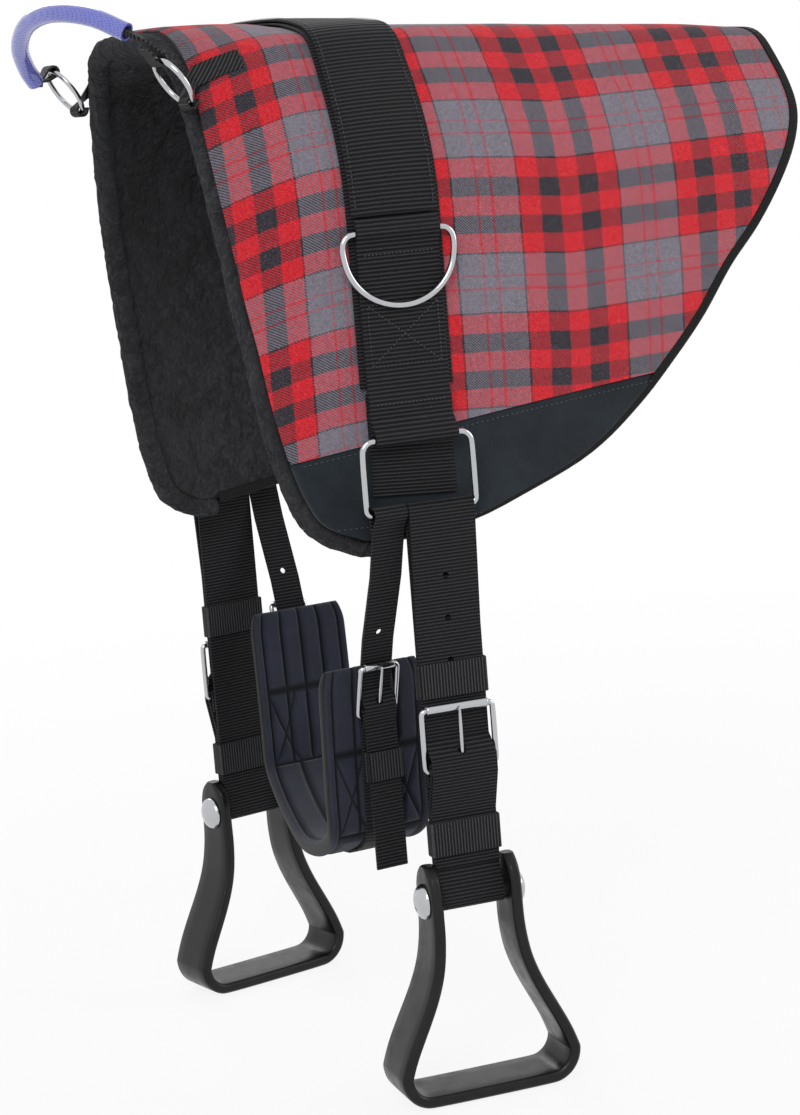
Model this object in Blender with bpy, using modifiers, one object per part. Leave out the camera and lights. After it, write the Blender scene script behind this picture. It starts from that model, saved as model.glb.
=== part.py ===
"""Bareback pad with surcingle, handle, girth and stirrups, in metres.

+X points to the horse's tail, +Y to the horse's right and +Z up. The origin is on the
lining, on the horse's spine, under the middle of the surcingle.
"""

import math

import bmesh
import bpy
from mathutils import Matrix, Vector

# Clearances shared by all pieces
GAP = 0.0003

# Pad layers
COVER_THICK = 0.002
FOAM_THICK = 0.009
LINING_THICK = 0.010
PAD_THICK = COVER_THICK + GAP + FOAM_THICK + GAP + LINING_THICK

# Pad outline: distances run down the outer surface from the spine, or along the horse
PAD_FRONT = -0.116
PAD_LENGTH = 0.482
FLAP_DROP = 0.373
CREST_FALL = 0.031
NARROWING = 0.060
SEAM_DROP_FRONT = 0.318
SEAM_DROP_REAR = 0.262

# Section across the back at the withers and behind them
FRONT_CROWN = 0.020
FRONT_SHOULDER = 0.116
FRONT_FLANK_START = 0.071
FRONT_FLANK = 0.2155
FRONT_TURN = math.radians(74.5)
BACK_CROWN = 0.102
BACK_SHOULDER = 0.036
BACK_FLANK_START = 0.154
BACK_FLANK = 0.122
BACK_TURN = math.radians(57)
CROWN_LEAN = math.radians(3)

# Fleece roll, rear tape
ROLL_RADIUS = 0.0075
ROLL_DEPTH = 0.0135
TAPE_THICK = 0.0008
TAPE_WIDTH = 0.0035
TAPE_GAP = 0.0015

# Webbing
WEB_GAP = 0.0007
RIGHT_SET = 0.012
SURCINGLE_WIDTH = 0.0635
SURCINGLE_THICK = 0.0022
SURCINGLE_END_DROP = 0.138
BACKING_WIDTH = 0.070
BACKING_THICK = 0.0015
BACKING_END_DROP = 0.262
PATCH_WIDTH = 0.0635
PATCH_START_DROP = 0.266
PATCH_END_DROP = 0.342
STRAP_WIDTH = 0.0508
STRAP_THICK = 0.0024
BILLET_WIDTH = 0.0254

# Dees
DEE_WIRE = 0.0048
DEE_HALF_WIDTH = 0.0425
DEE_HEIGHT = 0.054
DEE_TOP_CORNER = 0.0095
DEE_BOTTOM_CORNER = 0.005
DEE_ROUND_START = 0.014
UPPER_BAR_DROP = 0.150
LOWER_BAR_DROP = 0.298
BAR_CLEARANCE = 0.0005
DEE_SWING_ROOM = 0.0036
UPPER_DEE_TILT = math.radians(3)

# Stirrup strap, its buckle and its keepers
LOOP_CLEARANCE = 0.0009
LAYER_GAP = 0.0005
HEEL_FALL = 0.194
STRAP_BUCKLE_LENGTH = 0.046
STRAP_BUCKLE_WIRE = 0.0045
STRAP_ROLLER_RADIUS = 0.0035
STRAP_BUCKLE_CORNER = 0.004
STRAP_TONGUE_WIRE = 0.0032
STRAP_SIDE_GAP = 0.0005
UPPER_KEEPER_RISE = 0.0205
LOWER_KEEPER_FALL = 0.0525
KEEPER_HEIGHT = 0.026
KEEPER_THICK = 0.0016
KEEPER_GAP = 0.0006
STRAP_TAIL_FALL = 0.075
HOLE_PITCH = 0.03175
HOLE_RADIUS = 0.0025
STRAP_HOLES_ABOVE = 3

# Stirrup and its bolt
BOLT_FALL = 0.098
STIRRUP_HALF_WIDTH = 0.0675
STIRRUP_BAND = 0.009
TREAD_DROP = 0.1475
TREAD_DEPTH = 0.047
EAR_DEPTH = 0.036
EAR_RISE = 0.027
EAR_GAP = 0.0540
STIRRUP_EDGE = 0.002
BOLT_RADIUS = 0.004
BOLT_HEAD_RADIUS = 0.014
BOLT_HEAD_HEIGHT = 0.007
SLEEVE_RADIUS = 0.0063

# Girth, its billets and buckles
BILLET_SIDE_GAP = 0.0016
GIRTH_PIVOT_FALL = 0.156
GIRTH_PIVOT_INSET = 0.046
GIRTH_BUCKLE_LENGTH = 0.040
GIRTH_BUCKLE_WIRE = 0.0040
GIRTH_ROLLER_RADIUS = 0.0030
GIRTH_TONGUE_WIRE = 0.0028
GIRTH_BUCKLE_CORNER = 0.0035
GIRTH_SIDE_GAP = 0.0008
PIVOT_CLEARANCE = 0.0009
BILLET_TAIL_FALL = 0.117
GIRTH_WIDTH = 0.084
GIRTH_THICK = 0.012
GIRTH_TOP_RISE = 0.033
GIRTH_DEPTH = 0.132
GIRTH_CHANNELS = 4
GIRTH_CHANNEL_DEPTH = 0.003
GIRTH_WEB_THICK = 0.0022
GIRTH_KEEPER_FALL = 0.038
GIRTH_KEEPER_HEIGHT = 0.022
BAR_SPLAY_ROOM = 0.0021

# Handle
RING_RADIUS = 0.0195
RING_WIRE = 0.004
RING_OUT = 0.105
RING_FORE = 0.008
RING_DROP = 0.049
RING_LEAN = math.radians(57)
HANDLE_WEB_WIDTH = 0.016
HANDLE_WEB_THICK = 0.0016
HANDLE_LOOP_CLEARANCE = 0.0004
HANDLE_FOLD = 0.011
TAB_START = 0.034
TAB_SHARE = 0.25
GRIP_RADIUS = 0.0068
GRIP_WALL = 0.0016
WEB_IN_GRIP_WIDTH = 0.0085
WEB_IN_GRIP_THICK = 0.0034
GRIP_POINTS = ((0.0147, -0.088, 0.0211), (0.0307, -0.062, 0.0341), (0.0447, -0.025, 0.0396),
               (0.0487, 0.015, 0.0341), (0.0427, 0.052, 0.0196), (0.0297, 0.078, 0.0041),
               (0.0197, 0.088, -0.0069))

# Rows of the pad's mesh from the spine to the bottom edge, and columns from front to rear
ROW_SHARES = (0, 0.1, 0.165, 0.20, 0.23, 0.26, 0.29, 0.32, 0.36, 0.42, 0.50, 0.60, 0.70, 0.80, 0.87, 0.92,
              0.955,
              0.98, 1)
LEVEL_SHARE = 0.38
SEAM_ROW = 13
COLUMN_SHARES = (0, 0.08, 0.165, 0.24, 0.315, 0.45, 0.61, 0.80, 1)
FRONT_EDGE_SHARES = ((0, 0), (0.30, 0), (0.43, 0.006), (0.61, 0.023), (0.70, 0.035), (0.79, 0.046),
                     (0.885, 0.064), (0.95, 0.085), (0.98, 0.108), (1, 0.158))
REAR_EDGE_SHARES = ((0, 0.95), (0.12, 0.958), (0.20, 0.976), (0.27, 0.988), (0.33, 0.994), (0.386, 0.99),
                    (0.441, 0.967), (0.509, 0.923), (0.565, 0.88), (0.622, 0.826), (0.696, 0.768),
                    (0.753, 0.714), (0.825, 0.637), (0.891, 0.544), (0.94, 0.429), (0.98, 0.313), (1, 0.19))
SECTION_STEPS = 240


def clear_scene():
    for thing in list(bpy.data.objects):
        bpy.data.objects.remove(thing, do_unlink=True)


def new_collection(name):
    made = bpy.data.collections.new(name)
    bpy.context.scene.collection.children.link(made)
    return made


clear_scene()
PARTS = new_collection("bareback_pad")
CUTTERS = new_collection("cutters")
CUTTERS.hide_render = True


def material(name, colour, roughness, metallic=0.0):
    made = bpy.data.materials.new(name)
    made.use_nodes = True
    shader = made.node_tree.nodes["Principled BSDF"]
    shader.inputs["Base Color"].default_value = (*colour, 1)
    shader.inputs["Roughness"].default_value = roughness
    shader.inputs["Metallic"].default_value = metallic
    return made


PLAID = material("plaid_cloth", (0.55, 0.03, 0.05), 0.95)
SUEDE = material("dark_suede", (0.013, 0.019, 0.024), 0.9)
FOAM = material("grey_foam", (0.25, 0.25, 0.26), 0.95)
FLEECE = material("black_fleece", (0.012, 0.012, 0.013), 1.0)
TAPE = material("black_tape", (0.01, 0.01, 0.011), 0.8)
WEBBING = material("black_webbing", (0.016, 0.016, 0.018), 0.7)
NICKEL = material("nickel_plate", (0.72, 0.72, 0.73), 0.18, 1.0)
MOULDED = material("black_nylon", (0.02, 0.02, 0.022), 0.4)
GRIP = material("blue_tubing", (0.1, 0.12, 0.55), 0.3)
QUILT = material("navy_quilting", (0.022, 0.024, 0.042), 0.9)


# Frames and objects
def empty(name, location, turn=0.0, parent=None):
    made = bpy.data.objects.new(name, None)
    made.location = location
    made.rotation_euler = (0, 0, turn)
    made.parent = parent
    PARTS.objects.link(made)
    return made


def object_of(name, data, surface, origin, parent, collection=PARTS):
    made = bpy.data.objects.new(name, data)
    made.location = origin
    made.parent = parent
    if surface:
        data.materials.append(surface)
    collection.objects.link(made)
    return made


def mesh_object(name, bm, surface, origin=(0, 0, 0), parent=None, collection=PARTS, sharp=40):
    """An object whose mesh was modelled in its parent's axes and whose origin is on its own pivot."""
    bmesh.ops.translate(bm, vec=-Vector(origin), verts=bm.verts)
    bmesh.ops.recalc_face_normals(bm, faces=bm.faces)
    mesh = bpy.data.meshes.new(name)
    bm.to_mesh(mesh)
    bm.free()
    mesh.shade_smooth()
    mesh.set_sharp_from_angle(angle=math.radians(sharp))
    return object_of(name, mesh, surface, origin, parent, collection)


def wire_object(name, points, radius, surface, origin=(0, 0, 0), parent=None, closed=True, sides=2):
    """A round wire along a list of points."""
    curve = bpy.data.curves.new(name, "CURVE")
    curve.dimensions = "3D"
    curve.bevel_depth = radius
    curve.bevel_resolution = sides
    curve.use_fill_caps = True
    spline = curve.splines.new("POLY")
    spline.points.add(len(points) - 1)
    for spot, point in zip(spline.points, points):
        spot.co = (*(Vector(point) - Vector(origin)), 1)
    spline.use_cyclic_u = closed
    return object_of(name, curve, surface, origin, parent)


def turned_object(name, profile, surface, origin, parent, steps=14, sharp=40):
    """A turned piece: the profile holds (radius, place along X), outer side from +X to -X."""
    mesh = bpy.data.meshes.new(name)
    ends = [(i, i + 1) for i in range(len(profile) - 1)]
    if profile[0][0] > 0:
        ends.append((len(profile) - 1, 0))
    mesh.from_pydata([(radius, 0, place) for radius, place in profile], ends, [])
    made = object_of(name, mesh, surface, origin, parent)
    made.rotation_euler = (0, math.pi / 2, 0)
    screw = made.modifiers.new("turn", "SCREW")
    screw.steps = steps
    screw.render_steps = steps
    screw.use_merge_vertices = True
    screw.merge_threshold = 1e-5
    screw.use_smooth_shade = True
    return made


def cut(target, name, bm):
    """Takes a closed shape, modelled in the same axes as the target, out of it."""
    cutter = mesh_object(name, bm, None, target.location, target.parent, CUTTERS)
    cutter.hide_render = True
    cutter.display_type = "WIRE"
    modifier = target.modifiers.new(name, "BOOLEAN")
    modifier.operation = "DIFFERENCE"
    modifier.object = cutter


def add_box(bm, low, high):
    middle = (Vector(low) + Vector(high)) / 2
    size = Vector(high) - Vector(low)
    bmesh.ops.create_cube(bm, size=1, matrix=Matrix.Translation(middle) @ Matrix.Diagonal((*size, 1)))


def add_rod(bm, centre, radius, length, axis, segments=12):
    turn = {
        "X": Matrix.Rotation(math.pi / 2, 4, "Y"),
        "Y": Matrix.Rotation(math.pi / 2, 4, "X"),
        "Z": Matrix(),
    }
    bmesh.ops.create_cone(bm, cap_ends=True, segments=segments, radius1=radius, radius2=radius, depth=length,
                          matrix=Matrix.Translation(centre) @ turn[axis])


# Paths and bands
def arc(centre, radius, start, end, steps):
    """Points on a circle, with the angles in degrees."""
    angles = [math.radians(start + (end - start) * i / steps) for i in range(steps + 1)]
    return [(centre[0] + radius * math.cos(a), centre[1] + radius * math.sin(a)) for a in angles]


def normals_of(path, closed):
    """For each point of a flat path, the sideways step that keeps a band's width round the bends."""
    steps = []
    count = len(path)
    for i, (a, b) in enumerate(path):
        before = path[i - 1] if i or closed else None
        after = path[(i + 1) % count] if i < count - 1 or closed else None
        first = Vector((a - before[0], b - before[1])).normalized() if before else None
        second = Vector((after[0] - a, after[1] - b)).normalized() if after else first
        first = first or second
        middle = (first + second).normalized()
        side = Vector((middle.y, -middle.x))
        steps.append(side / max(middle.dot(first), 0.5))
    return steps


def place_of(a, b, across, axis):
    return {"X": (across, a, b), "Y": (a, across, b), "Z": (a, b, across)}[axis]


def band(path, thick, low, high, closed=False, axis="X"):
    """A band of even thickness along a flat path, running from low to high across it."""
    bm = bmesh.new()
    rows = []
    for (a, b), side in zip(path, normals_of(path, closed)):
        step = side * thick / 2
        rows.append([bm.verts.new(place_of(a + step.x, b + step.y, low, axis)),
                     bm.verts.new(place_of(a - step.x, b - step.y, low, axis))])
    pairs = list(zip(rows, rows[1:] + rows[:1]))[: len(rows) if closed else len(rows) - 1]
    for (a, b), (c, d) in pairs:
        bm.faces.new((a, b, d, c))
    made = bmesh.ops.extrude_face_region(bm, geom=bm.faces[:])
    moved = [v for v in made["geom"] if isinstance(v, bmesh.types.BMVert)]
    bmesh.ops.translate(bm, vec=place_of(0, 0, high - low, axis), verts=moved)
    return bm


def loft(rings, closed=False):
    """A closed skin over rings that hold the same number of points."""
    bm = bmesh.new()
    made = [[bm.verts.new(point) for point in ring] for ring in rings]
    count = len(rings[0])
    for first, second in list(zip(made, made[1:] + made[:1]))[: len(made) if closed else len(made) - 1]:
        for i in range(count):
            j = (i + 1) % count
            bm.faces.new((first[i], first[j], second[j], second[i]))
    if not closed:
        bm.faces.new(made[0])
        bm.faces.new(made[-1])
    return bm


def smooth_step(share):
    share = min(max(share, 0), 1)
    return share * share * (3 - 2 * share)


def smooth_path(points, steps):
    """A smooth curve through points of any dimension."""
    points = [Vector(p) for p in points]
    ends = [2 * points[0] - points[1]] + points + [2 * points[-1] - points[-2]]
    out = []
    for a, b, c, d in zip(ends, ends[1:], ends[2:], ends[3:]):
        for i in range(steps):
            t = i / steps
            out.append(0.5 * (2 * b + (c - a) * t + (2 * a - 5 * b + 4 * c - d) * t * t
                              + (3 * b - a - 3 * c + d) * t * t * t))
    return out + [points[-1]]


def at_share(table, share):
    """A smooth value from a table of pairs of shares."""
    share = min(max(share, table[0][0]), table[-1][0])
    last = len(table) - 2
    i = max(k for k in range(last + 1) if table[k][0] <= share)
    (x1, y1), (x2, y2) = table[i], table[i + 1]
    before, after = table[max(i - 1, 0)], table[min(i + 2, last + 1)]
    width = x2 - x1
    slope1 = (y2 - before[1]) / (x2 - before[0])
    slope2 = (after[1] - y1) / (after[0] - x1)
    u = (share - x1) / width
    return ((2 * u**3 - 3 * u**2 + 1) * y1 + (u**3 - 2 * u**2 + u) * width * slope1
            + (3 * u**2 - 2 * u**3) * y2 + (u**3 - u**2) * width * slope2)


# Pad surface
def half_section(crown, lean, shoulder, turn, flank_start, flank):
    """Half of the section across the back, from the spine down to the flap's bottom, in even steps."""
    step = FLAP_DROP / SECTION_STEPS
    y = z = run = 0.0
    points = [(y, z)]
    while -z < FLAP_DROP:
        angle = (lean * min(run / crown, 1) + (turn - lean) * smooth_step((run - crown) / shoulder)
                 + (math.pi / 2 - turn) * smooth_step((run - flank_start) / flank))
        y += step * math.cos(angle)
        z -= step * math.sin(angle)
        run += step
        points.append((y, z))
    return points


FRONT_SECTION = half_section(FRONT_CROWN, 0.0, FRONT_SHOULDER, FRONT_TURN, FRONT_FLANK_START, FRONT_FLANK)
BACK_SECTION = half_section(BACK_CROWN, CROWN_LEAN, BACK_SHOULDER, BACK_TURN, BACK_FLANK_START, BACK_FLANK)


def on_section(section, share):
    place = share * (len(section) - 1)
    i = min(int(place), len(section) - 2)
    part = place - i
    (y1, z1), (y2, z2) = section[i], section[i + 1]
    return y1 + (y2 - y1) * part, z1 + (z2 - z1) * part


def pad_surface(x, share):
    """A point of the cover's outer face. The share runs from -1, the left bottom edge, to 1."""
    front = math.exp(-(x - PAD_FRONT) / NARROWING)
    y1, z1 = on_section(FRONT_SECTION, abs(share))
    y2, z2 = on_section(BACK_SECTION, abs(share))
    y = front * y1 + (1 - front) * y2
    z = front * z1 + (1 - front) * z2
    return Vector((x, math.copysign(y, share), PAD_THICK + z - CREST_FALL * x / PAD_LENGTH))


def pad_normal(x, share):
    reach = NARROWING / 30
    turn_share = 0.01
    along = pad_surface(x + reach, share) - pad_surface(x - reach, share)
    down = pad_surface(x, share + turn_share) - pad_surface(x, share - turn_share)
    return along.cross(down).normalized()


def pad_point(x, share, depth):
    """A point at a depth under the cover's outer face."""
    inner = min(max(share, -0.985), 0.985)
    return pad_surface(x, share) - pad_normal(x, inner) * depth


def share_at_drop(section, drop):
    return next(i for i, (y, z) in enumerate(section) if -z >= drop) / (len(section) - 1)


SEAM_SHARE_FRONT = share_at_drop(FRONT_SECTION, SEAM_DROP_FRONT)
SEAM_SHARE_REAR = share_at_drop(BACK_SECTION, SEAM_DROP_REAR)


def edge_x(table, share):
    return PAD_FRONT + PAD_LENGTH * at_share(table, abs(share))


def row_share(row, column_share):
    """The row's share of the way down from the spine, with the seam's row on the seam."""
    plain = ROW_SHARES[abs(row)]
    seam_plain = ROW_SHARES[SEAM_ROW]
    seam = SEAM_SHARE_FRONT + (SEAM_SHARE_REAR - SEAM_SHARE_FRONT) * column_share
    if abs(row) <= SEAM_ROW:
        share = plain + (seam - seam_plain) * max(plain - LEVEL_SHARE, 0) / (seam_plain - LEVEL_SHARE)
    else:
        share = 1 - (1 - plain) * (1 - seam) / (1 - seam_plain)
    return math.copysign(share, row) if row else 0.0


def grid_point(row, column_share, depth):
    share = row_share(row, column_share)
    front = edge_x(FRONT_EDGE_SHARES, share)
    rear = edge_x(REAR_EDGE_SHARES, share)
    return pad_point(front + (rear - front) * column_share, share, depth)


def web_set(share):
    """How far the surcingle's middle stands to the rear: nothing on the left, all of it on the right."""
    return RIGHT_SET * smooth_step(share + 0.5)


def share_at_height(sign, z):
    """The share at which the surface has a height, under the surcingle's middle."""
    low, high = 0.05, 1.0
    for _ in range(24):
        middle = (low + high) / 2
        above = pad_surface(web_set(sign * middle), sign * middle).z > z
        low, high = (middle, high) if above else (low, middle)
    return sign * low


def slab(columns, rows, point, outer, inner):
    """A layer between two depths, over a grid of columns and rows."""
    bm = bmesh.new()
    bmesh.ops.create_grid(bm, x_segments=len(columns) - 1, y_segments=len(rows) - 1, size=1)
    spots = {}
    for vert in bm.verts:
        i = round((vert.co.x + 1) / 2 * (len(columns) - 1))
        j = round((vert.co.y + 1) / 2 * (len(rows) - 1))
        spots[vert] = (rows[j], columns[i])
    made = bmesh.ops.extrude_face_region(bm, geom=bm.faces[:])
    for vert in [v for v in made["geom"] if isinstance(v, bmesh.types.BMVert)]:
        i = round((vert.co.x + 1) / 2 * (len(columns) - 1))
        j = round((vert.co.y + 1) / 2 * (len(rows) - 1))
        vert.co = point(rows[j], columns[i], inner)
    for vert, (row, column) in spots.items():
        vert.co = point(row, column, outer)
    return bm


def make_pad_layers():
    last = len(ROW_SHARES) - 1
    seam_rows = list(range(-SEAM_ROW, SEAM_ROW + 1))
    all_rows = list(range(-last, last + 1))
    foam_top = COVER_THICK + GAP
    lining_top = foam_top + FOAM_THICK + GAP
    mesh_object("plaid_cover", slab(COLUMN_SHARES, seam_rows, grid_point, 0, COVER_THICK), PLAID)
    filling = slab(COLUMN_SHARES, all_rows, grid_point, foam_top, foam_top + FOAM_THICK)
    mesh_object("foam_core", filling, FOAM)
    mesh_object("fleece_lining", slab(COLUMN_SHARES, all_rows, grid_point, lining_top, PAD_THICK), FLEECE)
    for side, name in ((-1, "suede_panel_left"), (1, "suede_panel_right")):
        rows = [side * row for row in range(SEAM_ROW, last + 1)]
        panel = slab(COLUMN_SHARES, sorted(rows), suede_point, 0, COVER_THICK)
        mesh_object(name, panel, SUEDE)


def suede_point(row, column_share, depth):
    """Like grid_point, but the seam's row stands clear of the cover's edge."""
    point = grid_point(row, column_share, depth)
    if abs(row) == SEAM_ROW:
        point.z -= GAP
    return point


def edge_frame(i, outline, depth):
    """On the pad's edge: the point at a depth, the direction out of the pad, the normal and the bend."""
    here = grid_point(*outline[i], depth)
    before = here - grid_point(*outline[max(i - 1, 0)], depth)
    after = grid_point(*outline[min(i + 1, len(outline) - 1)], depth) - here
    before = before.normalized() if i else after.normalized()
    after = after.normalized() if i < len(outline) - 1 else before
    along = (before + after).normalized()
    normal = (grid_point(*outline[i], 0) - here).normalized()
    return here, along.cross(normal).normalized(), normal, max(along.dot(before), 0.5)


def make_fleece_roll():
    """The lining's fleece rolled out round the front and bottom edges of both flaps."""
    last = len(ROW_SHARES) - 1
    left = [(-last, share) for share in reversed(COLUMN_SHARES)]
    right = [(last, share) for share in COLUMN_SHARES]
    outline = left + [(row, 0) for row in range(-last + 1, last)] + right
    points = []
    for i in range(len(outline)):
        here, out, _, bend = edge_frame(i, outline, ROLL_DEPTH)
        points.append(here - out * (ROLL_RADIUS + 2 * GAP) / bend)
    wire_object("fleece_roll", points, ROLL_RADIUS, FLEECE, closed=False)


def make_rear_tape():
    """A tape folded over the rear edge."""
    last = len(ROW_SHARES) - 1
    outline = [(row, 1) for row in range(-last, last + 1)]
    room = TAPE_GAP
    half = PAD_THICK / 2 + room
    rings = []
    for i in range(len(outline)):
        here, out, normal, bend = edge_frame(i, outline, PAD_THICK / 2)
        flat = [(-TAPE_WIDTH, half + TAPE_THICK), (room + TAPE_THICK, half + TAPE_THICK),
                (room + TAPE_THICK, -half - TAPE_THICK), (-TAPE_WIDTH, -half - TAPE_THICK),
                (-TAPE_WIDTH, -half), (room, -half), (room, half), (-TAPE_WIDTH, half)]
        rings.append([here + out * (a / bend) + normal * b for a, b in flat])
    mesh_object("rear_binding", loft(rings), TAPE)


def web_shares(start_share, end_share):
    """The shares of the pad's rows between two ends, with the ends."""
    shares = [row_share(row, 0.25) for row in range(1 - len(ROW_SHARES), len(ROW_SHARES))]
    room = 0.004
    inside = [share for share in shares if start_share + room < share < end_share - room]
    return [start_share] + inside + [end_share]


def web_slab(width, outer, thick, shares):
    """A web on the pad's surface, through its shares."""
    def point(share, across, depth):
        return pad_point(across + web_set(share), share, depth)

    return slab((-width / 2, 0, width / 2), shares, point, -outer - thick, -outer)


def make_webs():
    web_gap = WEB_GAP + BACKING_THICK + GAP
    ends = [share_at_height(sign, PAD_THICK - SURCINGLE_END_DROP) for sign in (-1, 1)]
    shares = web_shares(*ends)
    mesh_object("surcingle_web", web_slab(SURCINGLE_WIDTH, web_gap, SURCINGLE_THICK, shares), WEBBING)
    low, high = [share_at_height(sign, PAD_THICK - BACKING_END_DROP) for sign in (-1, 1)]
    shares = web_shares(low, ends[0])[:-1] + shares + web_shares(ends[1], high)[1:]
    mesh_object("surcingle_backing", web_slab(BACKING_WIDTH, WEB_GAP, BACKING_THICK, shares), WEBBING)
    for sign, label in ((-1, "left"), (1, "right")):
        ends = [share_at_height(sign, PAD_THICK - drop) for drop in (PATCH_START_DROP, PATCH_END_DROP)]
        patch = web_slab(PATCH_WIDTH, WEB_GAP, BACKING_THICK, web_shares(*sorted(ends)))
        mesh_object(f"dee_patch_{label}", patch, WEBBING)


# Side frames: x runs along the flap, y out of it, both at the middle of the surcingle
WEB_FACE = WEB_GAP + BACKING_THICK + GAP
WEB_LINE = WEB_FACE + SURCINGLE_THICK / 2
STRAP_RUN = DEE_WIRE / 2 + LOOP_CLEARANCE + STRAP_THICK / 2
BAR_RUN = DEE_WIRE / 2 + BAR_CLEARANCE + SURCINGLE_THICK / 2
UPPER_BAR_OUT = WEB_FACE + DEE_WIRE / 2 + GAP
LOWER_BAR_OUT = WEB_FACE + DEE_SWING_ROOM + STRAP_RUN + STRAP_THICK / 2
UPPER_BAR_Z = PAD_THICK - UPPER_BAR_DROP
LOWER_BAR_Z = PAD_THICK - LOWER_BAR_DROP
DEE_FOOT_Z = LOWER_BAR_Z - DEE_HEIGHT
HEEL_Z = DEE_FOOT_Z - HEEL_FALL
BOLT_Z = HEEL_Z - BOLT_FALL
LOOPS_WIDTH = STRAP_WIDTH + BILLET_SIDE_GAP + BILLET_WIDTH
STRAP_X = STRAP_WIDTH / 2 - LOOPS_WIDTH / 2
BILLET_X = LOOPS_WIDTH / 2 - BILLET_WIDTH / 2


def side_place(sign):
    """Where a side's frame stands and how it is turned: x along the flap and y out of it."""
    x, share, reach = web_set(sign), sign * 0.9, NARROWING / 30
    y = pad_surface(x, share).y
    splay = math.atan2(abs(pad_surface(x + reach, share).y) - abs(y), reach)
    return Vector((x, y, 0)), splay if sign > 0 else math.pi - splay


def wrap(centre, radius, before, after, turn, steps):
    """Round a circle from the tangent of one point to the tangent of another; turn is 1 anticlockwise."""
    before, after, centre = Vector(before), Vector(after), Vector(centre)
    first, last = before - centre, after - centre
    start = math.atan2(first.y, first.x) + turn * math.acos(radius / first.length)
    end = math.atan2(last.y, last.x) - turn * math.acos(radius / last.length)
    while turn * (end - start) < 0:
        end += turn * 2 * math.pi
    while turn * (end - start) > 2 * math.pi:
        end -= turn * 2 * math.pi
    return arc(centre, radius, math.degrees(start), math.degrees(end), steps)


def make_side_web(label, frame):
    """The web from the upper dee to the lower dee, folded round the lower dee's bar."""
    spread = BAR_RUN * 2.4
    lower = (LOWER_BAR_OUT, LOWER_BAR_Z)
    tail = WEB_LINE + SURCINGLE_THICK + GAP
    fold = SURCINGLE_WIDTH / 2
    path = [(WEB_LINE, UPPER_BAR_Z + spread)]
    path += arc((UPPER_BAR_OUT, UPPER_BAR_Z), BAR_RUN, 60, -60, 6)
    path += [(WEB_LINE, UPPER_BAR_Z - spread), (WEB_LINE, LOWER_BAR_Z + fold)]
    path += [(tail, LOWER_BAR_Z + fold * 0.8), (tail, LOWER_BAR_Z + fold * 0.4)]
    path += arc(lower, BAR_RUN, 50, -180, 12)
    path += [(WEB_LINE, LOWER_BAR_Z + fold * 0.3), (WEB_LINE, LOWER_BAR_Z + fold * 0.7)]
    web = band(path, SURCINGLE_THICK, -SURCINGLE_WIDTH / 2, SURCINGLE_WIDTH / 2)
    mesh_object(f"side_web_{label}", web, WEBBING, parent=frame)


def dee_outline():
    """The dee's wire in its own plane, with its bar on the x axis."""
    half, foot = DEE_HALF_WIDTH, -DEE_HEIGHT
    top, bottom = DEE_TOP_CORNER, DEE_BOTTOM_CORNER
    right = arc((half - top, -top), top, 90, 0, 4) + arc((half - bottom, foot + bottom), bottom, 0, -90, 4)
    return right + [(-x, z) for x, z in reversed(right)]


def round_dee_outline():
    """A dee's wire with a round foot, in its own plane, with its bar on the x axis."""
    half, top = DEE_HALF_WIDTH, DEE_TOP_CORNER
    depth = DEE_HEIGHT - DEE_ROUND_START
    turns = [math.radians(15 * i) for i in range(7)]
    foot = [(half * math.cos(turn), -DEE_ROUND_START - depth * math.sin(turn)) for turn in turns]
    right = arc((half - top, -top), top, 90, 0, 4) + foot
    return right + [(-x, z) for x, z in reversed(right[:-1])]


def make_dee(name, frame, outline, out, bar_z, tilt):
    lean = Matrix.Rotation(tilt, 3, "X")
    origin = Vector((0, out, bar_z))
    points = [origin + lean @ Vector((x, 0, z)) for x, z in outline]
    wire_object(name, points, DEE_WIRE / 2, NICKEL, origin, frame)


# Stirrup strap
HEEL_RUN = STRAP_BUCKLE_WIRE / 2 + LAYER_GAP + STRAP_THICK / 2
ROLLER_RUN = STRAP_ROLLER_RADIUS + LAYER_GAP + STRAP_THICK / 2
LAYER_PITCH = STRAP_THICK + LAYER_GAP
STRAP_IN = LOWER_BAR_OUT - STRAP_RUN
BUCKLE_OUT = STRAP_IN + LAYER_PITCH + ROLLER_RUN
TONGUE_RUN = STRAP_BUCKLE_WIRE / 2 + GAP + STRAP_TONGUE_WIRE / 2
TAIL_OUT = BUCKLE_OUT + TONGUE_RUN + STRAP_TONGUE_WIRE / 2 + 2 * LAYER_GAP + STRAP_THICK / 2
ROLLER_Z = HEEL_Z + STRAP_BUCKLE_LENGTH
BOLT_RUN = SLEEVE_RADIUS + LAYER_GAP + STRAP_THICK / 2
UPPER_KEEPER_Z = ROLLER_Z + UPPER_KEEPER_RISE
LOWER_KEEPER_Z = HEEL_Z - LOWER_KEEPER_FALL
KEPT_RUN_OUT = STRAP_IN + LAYER_PITCH
KEPT_TAIL_OUT = KEPT_RUN_OUT + LAYER_PITCH
CROSS_TOP = HEEL_Z + STRAP_THICK * 9
CROSS_FOOT = HEEL_Z + STRAP_THICK * 4


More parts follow.
